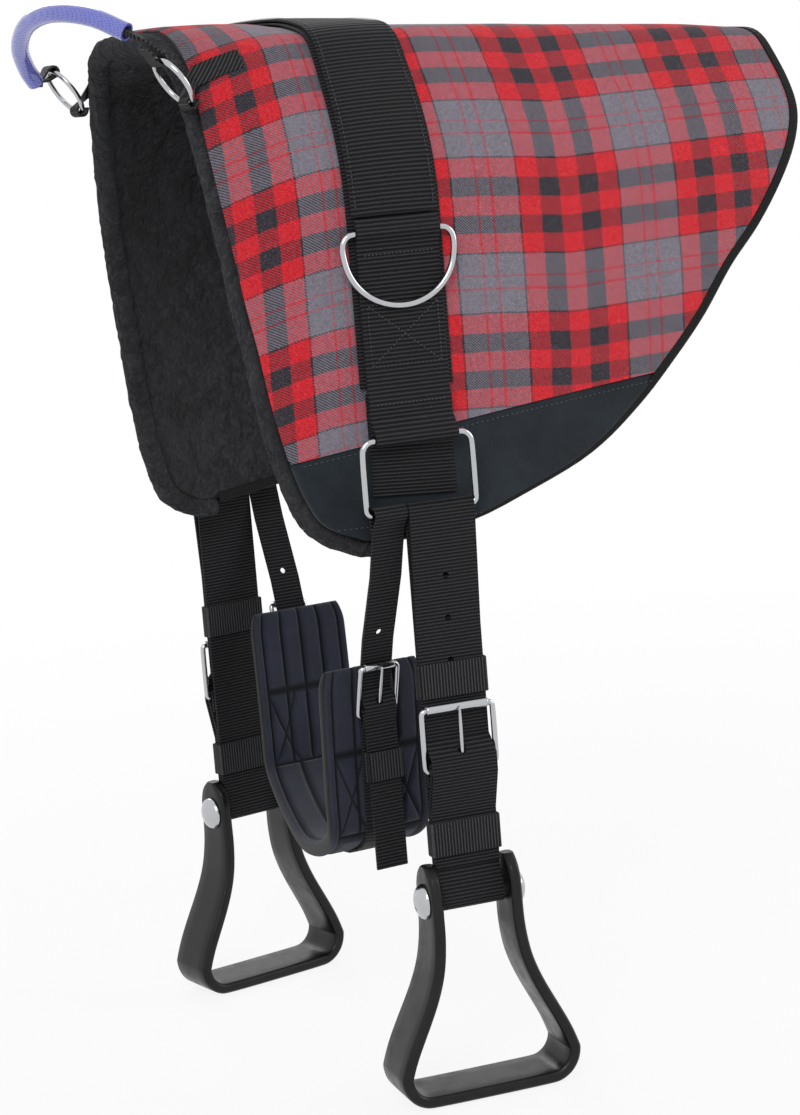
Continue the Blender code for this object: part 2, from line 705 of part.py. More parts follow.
def strap_path():
    """From the tail's end up through the buckle, over the dee, round the sleeve and up to the heel bar."""
    inside = BUCKLE_OUT - ROLLER_RUN
    start = (KEPT_TAIL_OUT, HEEL_Z - STRAP_TAIL_FALL)
    apart = (inside, UPPER_KEEPER_Z + KEEPER_HEIGHT * 1.5)
    down = (STRAP_IN, UPPER_KEEPER_Z)
    low = (STRAP_IN, LOWER_KEEPER_Z - KEEPER_HEIGHT * 0.8)
    low_out = (KEPT_RUN_OUT, LOWER_KEEPER_Z - KEEPER_HEIGHT * 0.8)
    high_out = (KEPT_RUN_OUT, LOWER_KEEPER_Z + KEEPER_HEIGHT * 0.95)
    fold = (BUCKLE_OUT - HEEL_RUN * 0.9, HEEL_Z - HEEL_RUN * 3)
    path = [start, (KEPT_TAIL_OUT, LOWER_KEEPER_Z + KEEPER_HEIGHT * 0.7), (TAIL_OUT, HEEL_Z - HEEL_RUN)]
    path += [(TAIL_OUT, CROSS_FOOT), (inside, CROSS_TOP), apart]
    path += wrap((LOWER_BAR_OUT, DEE_FOOT_Z), STRAP_RUN, apart, down, 1, 8)
    path += [low] + wrap((LOWER_BAR_OUT, BOLT_Z), BOLT_RUN, low, low_out, 1, 12)
    path += [low_out, high_out]
    return path + wrap((BUCKLE_OUT, HEEL_Z), HEEL_RUN, high_out, fold, 1, 8) + [fold]


def make_strap(label, frame):
    low, high = STRAP_X - STRAP_WIDTH / 2, STRAP_X + STRAP_WIDTH / 2
    origin = (STRAP_X, LOWER_BAR_OUT, DEE_FOOT_Z)
    web = band(strap_path(), STRAP_THICK, low, high)
    strap = mesh_object(f"stirrup_strap_{label}", web, WEBBING, origin, frame)
    holes = bmesh.new()
    length = STRAP_THICK + 2 * LAYER_GAP
    outer_top = (LOWER_BAR_OUT + STRAP_RUN, DEE_FOOT_Z)
    outer_low = (BUCKLE_OUT - ROLLER_RUN, UPPER_KEEPER_Z + KEEPER_HEIGHT * 1.5)
    hole_z = CROSS_TOP - STRAP_THICK * 2
    for count in range(1, STRAP_HOLES_ABOVE + 1):
        z = hole_z + HOLE_PITCH * (count + 1)
        share = min(max((z - outer_low[1]) / (outer_top[1] - outer_low[1]), 0), 1)
        out = outer_low[0] + (outer_top[0] - outer_low[0]) * share
        add_rod(holes, (STRAP_X, out + LAYER_GAP, z), HOLE_RADIUS, length, "Y", 10)
    tongue_out = BUCKLE_OUT + TONGUE_RUN
    crossing = (STRAP_X, tongue_out, (CROSS_FOOT + CROSS_TOP) / 2)
    add_rod(holes, crossing, STRAP_TONGUE_WIRE, CROSS_TOP - CROSS_FOOT, "Z", 12)
    slot = STRAP_TONGUE_WIRE / 2 + LAYER_GAP
    slot_out = BUCKLE_OUT + HEEL_RUN + STRAP_THICK / 2 + LAYER_GAP / 2
    add_box(holes, (STRAP_X - slot, BUCKLE_OUT - HEEL_RUN * 2, HEEL_Z - HEEL_RUN * 1.4),
            (STRAP_X + slot, slot_out, HEEL_Z + HEEL_RUN * 1.6))
    cut(strap, f"strap_holes_{label}", holes)


def buckle_outline(half, corner, low, high):
    right = arc((half - corner, high - corner), corner, 90, 0, 4)
    right += arc((half - corner, low + corner), corner, 0, -90, 4)
    return right + [(-x, z) for x, z in reversed(right)]


def tongue_points(x, out, heel_z, roller_z, run, tip_out):
    """A wire that hooks round the heel bar from behind and rests on the roller."""
    hook = arc((out, heel_z), run, 135, 360, 9)
    reach = run * 0.8
    return [(x, a, b) for a, b in hook + [(tip_out, roller_z + reach)]]


def turned_tube(name, inner, outer, half, surface, origin, frame):
    profile = [(outer, half), (outer, -half), (inner, -half), (inner, half)]
    turned_object(name, profile, surface, origin, frame)


def make_strap_buckle(label, frame):
    half = STRAP_WIDTH / 2 + STRAP_SIDE_GAP + STRAP_BUCKLE_WIRE / 2
    outline = buckle_outline(half, STRAP_BUCKLE_CORNER, HEEL_Z, ROLLER_Z)
    points = [(STRAP_X + x, BUCKLE_OUT, z) for x, z in outline]
    wire_object(f"strap_buckle_frame_{label}", points, STRAP_BUCKLE_WIRE / 2, NICKEL,
                (STRAP_X, BUCKLE_OUT, HEEL_Z), frame)
    roller_half = half - STRAP_BUCKLE_CORNER
    turned_tube(f"strap_buckle_roller_{label}", STRAP_BUCKLE_WIRE / 2 + GAP, STRAP_ROLLER_RADIUS,
                roller_half, NICKEL, (STRAP_X, BUCKLE_OUT, ROLLER_Z), frame)
    tip_out = BUCKLE_OUT + STRAP_ROLLER_RADIUS + GAP + STRAP_TONGUE_WIRE / 2
    points = tongue_points(STRAP_X, BUCKLE_OUT, HEEL_Z, ROLLER_Z, TONGUE_RUN, tip_out)
    wire_object(f"strap_buckle_tongue_{label}", points, STRAP_TONGUE_WIRE / 2, NICKEL,
                (STRAP_X, BUCKLE_OUT, HEEL_Z), frame, closed=False)


def make_keeper(name, frame, x, z, half_width, inner, outer, height):
    """A web loop round layers that lie between two distances from the flap."""
    room = KEEPER_GAP + KEEPER_THICK / 2
    a, low, high = half_width + room, inner - room, outer + room
    corner = KEEPER_THICK
    path = arc((x + a - corner, high - corner), corner, 90, 0, 3)
    path += arc((x + a - corner, low + corner), corner, 0, -90, 3)
    path += arc((x - a + corner, low + corner), corner, -90, -180, 3)
    path += arc((x - a + corner, high - corner), corner, 180, 90, 3)
    loop = band(path, KEEPER_THICK, z - height / 2, z + height / 2, closed=True, axis="Z")
    mesh_object(name, loop, WEBBING, (x, (inner + outer) / 2, z), frame)


# Stirrup, modelled about its bolt
STIRRUP_SHARES = ((0, 1), (0, 0.88), (0.02, 0.79), (0.1, 0.66), (0.3, 0.52), (0.58, 0.38), (0.84, 0.25),
                  (0.98, 0.155))


def stirrup_stations():
    """Half of the band's middle line, from the ear down to the tread's middle, smoothly."""
    ear = EAR_GAP / 2 + STIRRUP_BAND / 2
    reach = STIRRUP_HALF_WIDTH - ear
    rise = EAR_DEPTH / 2
    stop = EAR_RISE - rise
    points = [(ear, z) for z in (EAR_RISE, EAR_RISE - rise * 0.12, EAR_RISE - rise * 0.45, stop)]
    points += [(ear + reach * a, -TREAD_DROP * (1 - b)) for a, b in STIRRUP_SHARES]
    corner = STIRRUP_HALF_WIDTH * 0.3
    centre = (STIRRUP_HALF_WIDTH - corner, -TREAD_DROP + corner)
    smooth = smooth_path(points[3:] + [(STIRRUP_HALF_WIDTH, centre[1])], 2)
    line = [Vector(p) for p in points[:3]] + smooth[:-1]
    line += [Vector(p) for p in arc(centre, corner, 0, -90, 6)]
    return line + [Vector((centre[0] / 2, -TREAD_DROP)), Vector((0, -TREAD_DROP))]


def stirrup_depth(z):
    """The band's depth: a round ear, a straight neck and a wide tread."""
    radius = EAR_DEPTH / 2
    centre = EAR_RISE - radius
    if z > centre:
        share = min((z - centre) / radius, 0.96)
        return EAR_DEPTH * math.sqrt(1 - share * share)
    return EAR_DEPTH + (TREAD_DEPTH - EAR_DEPTH) * smooth_step((centre - z) / (TREAD_DROP * 0.75))


def make_stirrup(label, frame):
    half = stirrup_stations()
    line = half + [Vector((-p.x, p.y)) for p in reversed(half[:-1])]
    sides = normals_of([tuple(p) for p in line], False)
    rings = []
    for point, side in zip(line, sides):
        depth, edge = stirrup_depth(point.y) / 2, STIRRUP_EDGE
        thick = STIRRUP_BAND / 2
        flat = [
            (thick, depth - edge),
            (thick - edge, depth),
            (edge - thick, depth),
            (-thick, depth - edge),
            (-thick, edge - depth),
            (edge - thick, -depth),
            (thick - edge, -depth),
            (thick, edge - depth),
        ]
        ring = []
        for a, b in flat:
            ring.append((STRAP_X + point.x + side.x * a, LOWER_BAR_OUT + b, BOLT_Z + point.y + side.y * a))
        rings.append(ring)
    origin = (STRAP_X, LOWER_BAR_OUT, BOLT_Z)
    stirrup = mesh_object(f"stirrup_{label}", loft(rings), MOULDED, origin, frame)
    hole = bmesh.new()
    add_rod(hole, origin, BOLT_RADIUS + GAP, EAR_GAP + 4 * STIRRUP_BAND, "X", 16)
    cut(stirrup, f"bolt_holes_{label}", hole)
    half_gap = EAR_GAP / 2
    outer = half_gap + STIRRUP_BAND + GAP
    dome = [(BOLT_HEAD_RADIUS * math.sin(a), BOLT_HEAD_HEIGHT * math.cos(a))
            for a in [math.radians(angle) for angle in (0, 25, 50, 72, 90)]]
    tip = -outer - BOLT_HEAD_HEIGHT / 2
    profile = [(radius, outer + rise) for radius, rise in dome]
    profile += [(BOLT_HEAD_RADIUS, outer), (BOLT_RADIUS, outer), (BOLT_RADIUS, tip), (0, tip)]
    turned_object(f"stirrup_bolt_{label}", merged(profile), NICKEL, origin, frame)
    cup = tip - GAP
    profile = [(0, cup), (BOLT_RADIUS + GAP, cup), (BOLT_RADIUS + GAP, -outer), (BOLT_HEAD_RADIUS, -outer)]
    profile += [(radius, -outer - rise) for radius, rise in reversed(dome)][1:]
    turned_object(f"stirrup_nut_{label}", profile, NICKEL, origin, frame)
    turned_tube(f"stirrup_sleeve_{label}", BOLT_RADIUS + GAP, SLEEVE_RADIUS, half_gap - GAP, NICKEL,
                origin, frame)


def merged(profile):
    """A profile without a point that repeats the one before it."""
    return [point for i, point in enumerate(profile) if not i or point != profile[i - 1]]


# Girth
def billet_foot(sign):
    """Where a billet hangs on its dee, in the object's axes."""
    place, turn = side_place(sign)
    return place + Matrix.Rotation(turn, 3, "Z") @ Vector((BILLET_X, LOWER_BAR_OUT, DEE_FOOT_Z))


FOOT_LEFT = billet_foot(-1)
FOOT_RIGHT = billet_foot(1)
GIRTH_MIDDLE_Y = (FOOT_LEFT.y + FOOT_RIGHT.y) / 2
FOOT_SPAN = (FOOT_RIGHT.y - FOOT_LEFT.y) / 2
LEG = Vector((-GIRTH_PIVOT_INSET, -GIRTH_PIVOT_FALL))
LEG_ALONG = LEG.normalized()
LEG_OUT = Vector((-LEG_ALONG.y, LEG_ALONG.x))
BILLET_RUN = DEE_WIRE / 2 + BAR_SPLAY_ROOM + STRAP_THICK / 2
GIRTH_ROLLER_RUN = GIRTH_ROLLER_RADIUS + LAYER_GAP + STRAP_THICK / 2
PIVOT_RUN = GIRTH_BUCKLE_WIRE / 2 + PIVOT_CLEARANCE + GIRTH_WEB_THICK / 2
GIRTH_TONGUE_RUN = GIRTH_BUCKLE_WIRE / 2 + GAP + GIRTH_TONGUE_WIRE / 2
PIVOT_BULK = max(PIVOT_RUN + GIRTH_WEB_THICK / 2, GIRTH_TONGUE_RUN + GIRTH_TONGUE_WIRE / 2)
OVER_PIVOT = PIVOT_BULK + 2 * LAYER_GAP + STRAP_THICK / 2


def on_leg(along, out):
    """A point by its distance down the billet's line and its distance to the outer side of it."""
    return tuple(LEG_ALONG * along + LEG_OUT * out)


def billet_path():
    """From the fold's end over the dee's foot, down the outer side, inside the roller, over the pivot."""
    side = LAYER_PITCH / 2
    reach = LEG.length
    converge, fold = BILLET_RUN * 1.9, BILLET_RUN * 2.7
    lean = math.degrees(math.atan2(LEG_OUT.y, LEG_OUT.x))
    path = [on_leg(fold, -side), on_leg(converge, -side)]
    path += arc((0, 0), BILLET_RUN, 180 + lean, lean, 9)
    path += [on_leg(converge, side), on_leg(reach * 0.3, side)]
    path += [on_leg(reach - GIRTH_BUCKLE_LENGTH * 1.5, -GIRTH_ROLLER_RUN)]
    path += [on_leg(reach - STRAP_THICK * 8, -GIRTH_ROLLER_RUN)]
    path += [on_leg(reach - STRAP_THICK * 3.6, OVER_PIVOT)]
    bend = on_leg(reach + STRAP_THICK, OVER_PIVOT)
    return path + [bend, (bend[0], -GIRTH_PIVOT_FALL - BILLET_TAIL_FALL)]


TAIL_LINE = billet_path()[-1][0]
TONGUE_LINE = GIRTH_TONGUE_RUN


def make_billet(label, frame):
    """A frame's x runs across the billet, y out of the flap and z up, from the dee's foot."""
    half = BILLET_WIDTH / 2
    web = band(billet_path(), STRAP_THICK, -half, half)
    billet = mesh_object(f"girth_billet_{label}", web, WEBBING, parent=frame)
    holes = bmesh.new()
    slope = Matrix.Rotation(math.atan2(-LEG_ALONG.x, -LEG_ALONG.y), 4, "X").inverted()
    reach = LEG.length
    cross = reach - STRAP_THICK * 5
    spot = on_leg(cross, TONGUE_LINE)
    bmesh.ops.create_cone(holes, cap_ends=True, segments=12, radius1=GIRTH_TONGUE_WIRE,
                          radius2=GIRTH_TONGUE_WIRE, depth=STRAP_THICK * 5,
                          matrix=Matrix.Translation((0, *spot)) @ slope)
    spot = on_leg(reach - HOLE_PITCH * 2.1, -GIRTH_ROLLER_RUN)
    bmesh.ops.create_cone(holes, cap_ends=True, segments=10, radius1=HOLE_RADIUS, radius2=HOLE_RADIUS,
                          depth=STRAP_THICK * 2, matrix=Matrix.Translation((0, *spot)) @ slope
                          @ Matrix.Rotation(math.pi / 2, 4, "X"))
    cut(billet, f"billet_holes_{label}", holes)
    half_frame = half + GIRTH_SIDE_GAP + GIRTH_BUCKLE_WIRE / 2
    heel, roller = Vector(LEG), Vector(on_leg(reach - GIRTH_BUCKLE_LENGTH, 0))
    points = []
    for x, along in buckle_outline(half_frame, GIRTH_BUCKLE_CORNER, 0, GIRTH_BUCKLE_LENGTH):
        points.append((x, *on_leg(reach - along, 0)))
    wire_object(f"girth_buckle_frame_{label}", points, GIRTH_BUCKLE_WIRE / 2, NICKEL, (0, *heel), frame)
    turned_tube(f"girth_buckle_roller_{label}", GIRTH_BUCKLE_WIRE / 2 + GAP, GIRTH_ROLLER_RADIUS,
                half_frame - GIRTH_BUCKLE_CORNER, NICKEL, (0, *roller), frame)
    tip = on_leg(reach - GIRTH_BUCKLE_LENGTH - GIRTH_TONGUE_RUN,
                 GIRTH_ROLLER_RADIUS + GAP + GIRTH_TONGUE_WIRE / 2)
    lean = math.degrees(math.atan2(LEG_OUT.y, LEG_OUT.x))
    hook = arc(heel, GIRTH_TONGUE_RUN, 135 + lean, 360 + lean, 9)
    points = [(0, a, b) for a, b in hook + [tip]]
    wire_object(f"girth_buckle_tongue_{label}", points, GIRTH_TONGUE_WIRE / 2, NICKEL, (0, *heel), frame,
                closed=False)
    z = -GIRTH_PIVOT_FALL - GIRTH_KEEPER_FALL
    face = STRAP_THICK / 2
    make_keeper(f"girth_keeper_{label}", frame, 0, z, half, TAIL_LINE - face, TAIL_LINE + face,
                GIRTH_KEEPER_HEIGHT)


def girth_half_path():
    """The padded girth's middle line from its top beside the buckle to the middle, out from the middle."""
    heel = Vector((FOOT_SPAN, DEE_FOOT_Z)) + LEG
    inset = PIVOT_RUN + GIRTH_WEB_THICK / 2 + 3 * GAP + GIRTH_THICK / 2
    top = heel - LEG_ALONG * GIRTH_TOP_RISE - LEG_OUT * (inset + GIRTH_THICK * 0.4)
    bottom = DEE_FOOT_Z - GIRTH_PIVOT_FALL - GIRTH_DEPTH + GIRTH_THICK / 2
    side = heel - LEG_OUT * inset
    fall = side.y - bottom
    return [
        top,
        side,
        Vector((side.x - fall * 0.03, side.y - fall * 0.28)),
        Vector((side.x - fall * 0.05, side.y - fall * 0.52)),
        Vector((side.x * 0.93, side.y - fall * 0.71)),
        Vector((side.x * 0.78, side.y - fall * 0.82)),
        Vector((side.x * 0.42, side.y - fall * 0.94)),
        Vector((0, bottom)),
    ]


def skew(y):
    """The girth runs slantwise, because each billet hangs on the front left side of its own strap."""
    span = FOOT_SPAN - GIRTH_PIVOT_INSET
    share = (y - GIRTH_MIDDLE_Y) / span
    middle = (FOOT_LEFT.x + FOOT_RIGHT.x) / 2
    return middle + (FOOT_RIGHT.x - FOOT_LEFT.x) / 2 * min(max(share, -1), 1)


def mirrored(half):
    return [Vector(p) for p in half] + [Vector((-p[0], p[1])) for p in reversed(half[:-1])]


def make_girth():
    line = [Vector((p.x, p.y)) for p in smooth_path([tuple(p) for p in mirrored(girth_half_path())], 2)]
    sides = normals_of([tuple(p) for p in line], False)
    columns = GIRTH_CHANNELS * 2
    origin = Vector((0, GIRTH_MIDDLE_Y + FOOT_SPAN - GIRTH_PIVOT_INSET, DEE_FOOT_Z + LEG.y))
    rings = []
    for i, (point, side) in enumerate(zip(line, sides)):
        end = min(i, len(line) - 1 - i)
        draw = (0.55, 0.9)[end] if end < 2 else 1
        ring = []
        for face in (1, -1):
            for column in range(columns + 1):
                place = column if face > 0 else columns - column
                across = (place / columns - 0.5) * GIRTH_WIDTH
                dip = GIRTH_CHANNEL_DEPTH * (place % 2 == 0)
                edge = 0.6 if place in (0, columns) else 1
                out = face * (GIRTH_THICK / 2 * draw * edge - dip / 2 * (edge == 1))
                y = GIRTH_MIDDLE_Y + point.x + side.x * out
                ring.append((skew(GIRTH_MIDDLE_Y + point.x) + across, y, point.y + side.y * out))
        rings.append(ring)
    mesh_object("girth_pad", loft(rings), QUILT, origin)
    make_girth_web(line, sides, origin)


def make_girth_web(line, sides, origin):
    """The web along the girth's outer face, folded round both buckles."""
    heel = Vector((FOOT_SPAN, DEE_FOOT_Z)) + LEG
    lean = math.degrees(math.atan2(LEG_OUT.y, LEG_OUT.x))
    lift = GIRTH_THICK / 2 + GAP + GIRTH_WEB_THICK / 2
    first = 6
    run = [point - side * lift for point, side in zip(line, sides)][first:len(line) - first]
    fold = GIRTH_WEB_THICK * 5
    back = heel - LEG_OUT * PIVOT_RUN * 0.55 + LEG_ALONG * fold
    loop = [tuple(back)] + arc(heel, PIVOT_RUN, 180 + lean, lean, 8)
    out = [tuple(heel + LEG_OUT * (PIVOT_RUN * 0.55) + LEG_ALONG * fold)]
    half = loop + out
    path = half + [tuple(p) for p in run] + [(-a, b) for a, b in reversed(half)]
    shifted = [(GIRTH_MIDDLE_Y + a, b) for a, b in path]
    web = band(shifted, GIRTH_WEB_THICK, -BILLET_WIDTH / 2, BILLET_WIDTH / 2)
    for vert in web.verts:
        vert.co.x += skew(vert.co.y)
    made = mesh_object("girth_web", web, WEBBING, origin)
    slots = bmesh.new()
    slot = GIRTH_TONGUE_WIRE / 2 + LAYER_GAP * 2
    size = PIVOT_RUN + GIRTH_WEB_THICK
    for sign in (-1, 1):
        spot = Vector((skew(GIRTH_MIDDLE_Y + sign * heel.x), GIRTH_MIDDLE_Y + sign * heel.x, heel.y))
        add_box(slots, spot - Vector((slot, size, size)), spot + Vector((slot, size, size)))
    cut(made, "girth_web_slots", slots)


# Handle
LOOP_SAG = RING_RADIUS - math.sqrt(RING_RADIUS**2 - (HANDLE_WEB_WIDTH / 2) ** 2)
RING_AXIS = Vector((-math.cos(RING_LEAN), 0, math.sin(RING_LEAN)))
RING_HOLD = RING_RADIUS - LOOP_SAG / 2
RING_FOOT = Vector((PAD_FRONT - RING_FORE, 0, PAD_THICK - RING_DROP))
RING_HEAD = RING_FOOT + 2 * RING_HOLD * RING_AXIS
HANDLE_RUN = RING_WIRE / 2 + LOOP_SAG / 2 + HANDLE_LOOP_CLEARANCE + HANDLE_WEB_THICK / 2


def ribbon(stations):
    """A web through stations of a point, the direction of its width, the width and the thickness."""
    rings = []
    last = len(stations) - 1
    for i, (point, across, width, thick) in enumerate(stations):
        along = stations[min(i + 1, last)][0] - stations[max(i - 1, 0)][0]
        side = across.normalized() * width / 2
        up = along.cross(across).normalized() * thick / 2
        rings.append([point + side + up, point - side + up, point - side - up, point + side - up])
    return loft(rings)


def looped(points, y, across=Vector((0, 1, 0))):
    """Stations of a web whose path lies in a fore and aft plane."""
    return [(Vector((a, y, b)), across, HANDLE_WEB_WIDTH, HANDLE_WEB_THICK) for a, b in points]


def make_tab(sign, label):
    """A short web sewn on the pad's shoulder, twisted forward and folded round its ring."""
    lift = -WEB_GAP - HANDLE_WEB_THICK / 2
    share, slope_share = sign * TAB_SHARE, 0.01
    stations = []
    for x in (PAD_FRONT + TAB_START, PAD_FRONT + TAB_START * 0.5, PAD_FRONT + TAB_START * 0.06):
        inward = pad_surface(x, share - sign * slope_share)
        outward = pad_surface(x, share + sign * slope_share)
        across = sign * (inward - outward)
        stations.append((pad_point(x, share, lift), -across, HANDLE_WEB_WIDTH, HANDLE_WEB_THICK))
    leave = stations[-1][0]
    foot = (RING_FOOT.x, RING_FOOT.z)
    fold = wrap(foot, HANDLE_RUN, (leave.x, leave.z), (leave.x, leave.z - HANDLE_RUN * 2), 1, 8)
    end = Vector(fold[-1]) + (Vector((leave.x, leave.z - HANDLE_RUN)) - Vector(fold[-1])) * 0.25
    loop = looped(fold + [tuple(end)], sign * RING_OUT)
    first, across = loop[0][0], stations[-1][1].normalized()
    for part in (0.35, 0.7):
        turned = across.lerp(loop[0][1], part).normalized()
        stations.append((leave.lerp(first, part), turned, HANDLE_WEB_WIDTH, HANDLE_WEB_THICK))
    mesh_object(f"handle_tab_{label}", ribbon(stations + loop), WEBBING)


def make_ring(sign, label):
    centre = RING_FOOT + Vector((0, sign * RING_OUT, 0)) + RING_AXIS * RING_HOLD
    points = []
    for a, b in arc((0, 0), RING_RADIUS, 0, 360, 24)[:-1]:
        points.append(centre + Vector((0, a, 0)) + RING_AXIS * b)
    foot = RING_FOOT + Vector((0, sign * RING_OUT, 0))
    wire_object(f"handle_ring_{label}", points, RING_WIRE / 2, NICKEL, foot)


def grip_line():
    """The grip's middle line from left to right, by its steps forward, out and up from the rings' heads."""
    points = [RING_HEAD + Vector((-fore, out, rise)) for fore, out, rise in GRIP_POINTS]
    return smooth_path([tuple(p) for p in points], 4)


def tube_rings(points, radius, sides):
    """Rings across a path in space."""
    rings = []
    for i, point in enumerate(points):
        along = (points[min(i + 1, len(points) - 1)] - points[max(i - 1, 0)]).normalized()
        across = Vector((0, 0, 1)).cross(along).normalized()
        up = along.cross(across)
        rings.append([point + across * (radius * math.cos(a)) + up * (radius * math.sin(a))
                      for a in [2 * math.pi * k / sides for k in range(sides)]])
    return rings


def make_grip(line):
    """A tube: an outer and an inner skin joined at both ends."""
    sides = 12
    outer = tube_rings(line, GRIP_RADIUS, sides)
    inner = tube_rings(line, GRIP_RADIUS - GRIP_WALL, sides)
    mesh_object("handle_grip", loft(outer + inner[::-1], closed=True), GRIP, RING_HEAD)


def web_leg(sign, enter):
    """The handle's web from its fold's end round a ring to just outside the grip."""
    head = Vector((RING_HEAD.x, RING_HEAD.z))
    reach = Vector((enter.x, enter.z)) - head
    aim = reach.normalized()
    over = Vector((aim.y, -aim.x))
    back = head + aim * HANDLE_FOLD
    under = back - over * (HANDLE_WEB_THICK + LAYER_GAP)
    leg = looped([tuple(under)] + wrap(head, HANDLE_RUN, under, back, 1, 8), sign * RING_OUT)
    first = leg[-1][0]
    aside = (enter.y - sign * RING_OUT) * HANDLE_FOLD / reach.length
    leg[0] = (leg[0][0] + Vector((0, aside, 0)), *leg[0][1:])
    for part in (0.35, 0.7):
        width = HANDLE_WEB_WIDTH + (WEB_IN_GRIP_WIDTH - HANDLE_WEB_WIDTH) * part
        leg.append((first.lerp(enter, part), leg[0][1], width, HANDLE_WEB_THICK))
    return leg


def make_handle_web(line):
    """One web through the grip, folded round both rings."""
    inside = []
    line = [line[0] * 2 - line[1]] + line + [line[-1] * 2 - line[-2]]
    for i, point in enumerate(line):
        along = line[min(i + 1, len(line) - 1)] - line[max(i - 1, 0)]
        across = Vector((0, 0, 1)).cross(along).normalized()
        inside.append((point, across if across.y > 0 else -across, WEB_IN_GRIP_WIDTH, WEB_IN_GRIP_THICK))
    left, right = web_leg(-1, line[0]), web_leg(1, line[-1])
    mesh_object("handle_web", ribbon(left + inside + right[::-1]), WEBBING, RING_HEAD)


def make_handle():
    for sign, label in ((-1, "left"), (1, "right")):
        make_tab(sign, label)
        make_ring(sign, label)
    line = grip_line()
    make_grip(line)
    make_handle_web(line)


def main():
    make_pad_layers()
    make_fleece_roll()
    make_rear_tape()
    make_webs()
    for sign, label in ((-1, "left"), (1, "right")):
        place, turn = side_place(sign)
        frame = empty(f"side_{label}", place, turn)
        make_side_web(label, frame)
        outline = round_dee_outline()
        make_dee(f"upper_dee_{label}", frame, outline, UPPER_BAR_OUT, UPPER_BAR_Z, UPPER_DEE_TILT)
        make_dee(f"lower_dee_{label}", frame, dee_outline(), LOWER_BAR_OUT, LOWER_BAR_Z, 0)
        make_strap(label, frame)
        make_strap_buckle(label, frame)
        face = STRAP_THICK / 2
        make_keeper(f"strap_keeper_upper_{label}", frame, STRAP_X, UPPER_KEEPER_Z, STRAP_WIDTH / 2,
                    STRAP_IN - face, BUCKLE_OUT - ROLLER_RUN + face, KEEPER_HEIGHT)
        make_keeper(f"strap_keeper_lower_{label}", frame, STRAP_X, LOWER_KEEPER_Z, STRAP_WIDTH / 2,
                    STRAP_IN - face, KEPT_TAIL_OUT + face, KEEPER_HEIGHT)
        make_stirrup(label, frame)
        foot = FOOT_RIGHT if sign > 0 else FOOT_LEFT
        make_billet(label, empty(f"billet_{label}", foot, 0 if sign > 0 else math.pi))
    make_girth()
    make_handle()


main()
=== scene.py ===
import math

import bmesh
import bpy
from mathutils import Matrix, Vector, noise


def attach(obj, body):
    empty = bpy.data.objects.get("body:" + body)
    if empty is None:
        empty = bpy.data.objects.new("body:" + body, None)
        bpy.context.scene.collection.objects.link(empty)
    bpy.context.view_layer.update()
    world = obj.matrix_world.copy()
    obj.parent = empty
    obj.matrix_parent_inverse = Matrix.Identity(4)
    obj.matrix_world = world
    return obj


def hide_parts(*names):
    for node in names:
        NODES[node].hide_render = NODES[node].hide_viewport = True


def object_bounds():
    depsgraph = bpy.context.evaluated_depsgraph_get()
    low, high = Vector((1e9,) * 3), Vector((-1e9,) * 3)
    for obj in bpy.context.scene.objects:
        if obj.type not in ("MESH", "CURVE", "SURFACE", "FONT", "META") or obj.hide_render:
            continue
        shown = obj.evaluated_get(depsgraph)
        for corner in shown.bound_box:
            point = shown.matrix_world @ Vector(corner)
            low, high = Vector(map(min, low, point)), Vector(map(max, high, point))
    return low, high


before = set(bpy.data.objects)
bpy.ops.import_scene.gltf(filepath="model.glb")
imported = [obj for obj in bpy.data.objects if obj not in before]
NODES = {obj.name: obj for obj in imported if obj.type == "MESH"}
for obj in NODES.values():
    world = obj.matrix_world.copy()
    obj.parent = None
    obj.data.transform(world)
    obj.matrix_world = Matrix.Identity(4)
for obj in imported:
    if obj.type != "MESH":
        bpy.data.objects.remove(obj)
CAD_BOX = [list(corner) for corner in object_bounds()]
SIDES = (("left", -1), ("right", 1))

# Sizes of the part in metres. A drop is measured down from the pad's top on the spine.
GAP = 0.0003
COVER_THICK = 0.002
FOAM_THICK = 0.009
LINING_THICK = 0.010
PAD_THICK = COVER_THICK + GAP + FOAM_THICK + GAP + LINING_THICK
PAD_FRONT = -0.116
PAD_LENGTH = 0.482
FLAP_DROP = 0.373
CREST_FALL = 0.031
NARROWING = 0.060
SEAM_DROP_FRONT = 0.318
SEAM_DROP_REAR = 0.262
FRONT_CROWN = 0.020
FRONT_SHOULDER = 0.116
FRONT_FLANK_START = 0.071
FRONT_FLANK = 0.2155
FRONT_TURN = math.radians(74.5)
BACK_CROWN = 0.102
BACK_SHOULDER = 0.036
BACK_FLANK_START = 0.154
BACK_FLANK = 0.122
BACK_TURN = math.radians(57)
CROWN_LEAN = math.radians(3)
ROLL_RADIUS = 0.0075
ROLL_DEPTH = 0.0135
TAPE_THICK = 0.0008
TAPE_WIDTH = 0.0035
WEB_GAP = 0.0007
RIGHT_SET = 0.012
SURCINGLE_WIDTH = 0.0635
SURCINGLE_THICK = 0.0022
SURCINGLE_END_DROP = 0.138
BACKING_WIDTH = 0.070
BACKING_THICK = 0.0015
BACKING_END_DROP = 0.262
PATCH_WIDTH = 0.0635
PATCH_START_DROP = 0.266
PATCH_END_DROP = 0.342
STRAP_WIDTH = 0.0508
STRAP_THICK = 0.0024
BILLET_WIDTH = 0.0254
DEE_WIRE = 0.0048
DEE_HEIGHT = 0.054
UPPER_BAR_DROP = 0.150
LOWER_BAR_DROP = 0.298
DEE_SWING_ROOM = 0.0036
LOOP_CLEARANCE = 0.0009
BILLET_SIDE_GAP = 0.0016
GIRTH_PIVOT_FALL = 0.156
GIRTH_PIVOT_INSET = 0.046
GIRTH_BUCKLE_WIRE = 0.0040
PIVOT_CLEARANCE = 0.0009
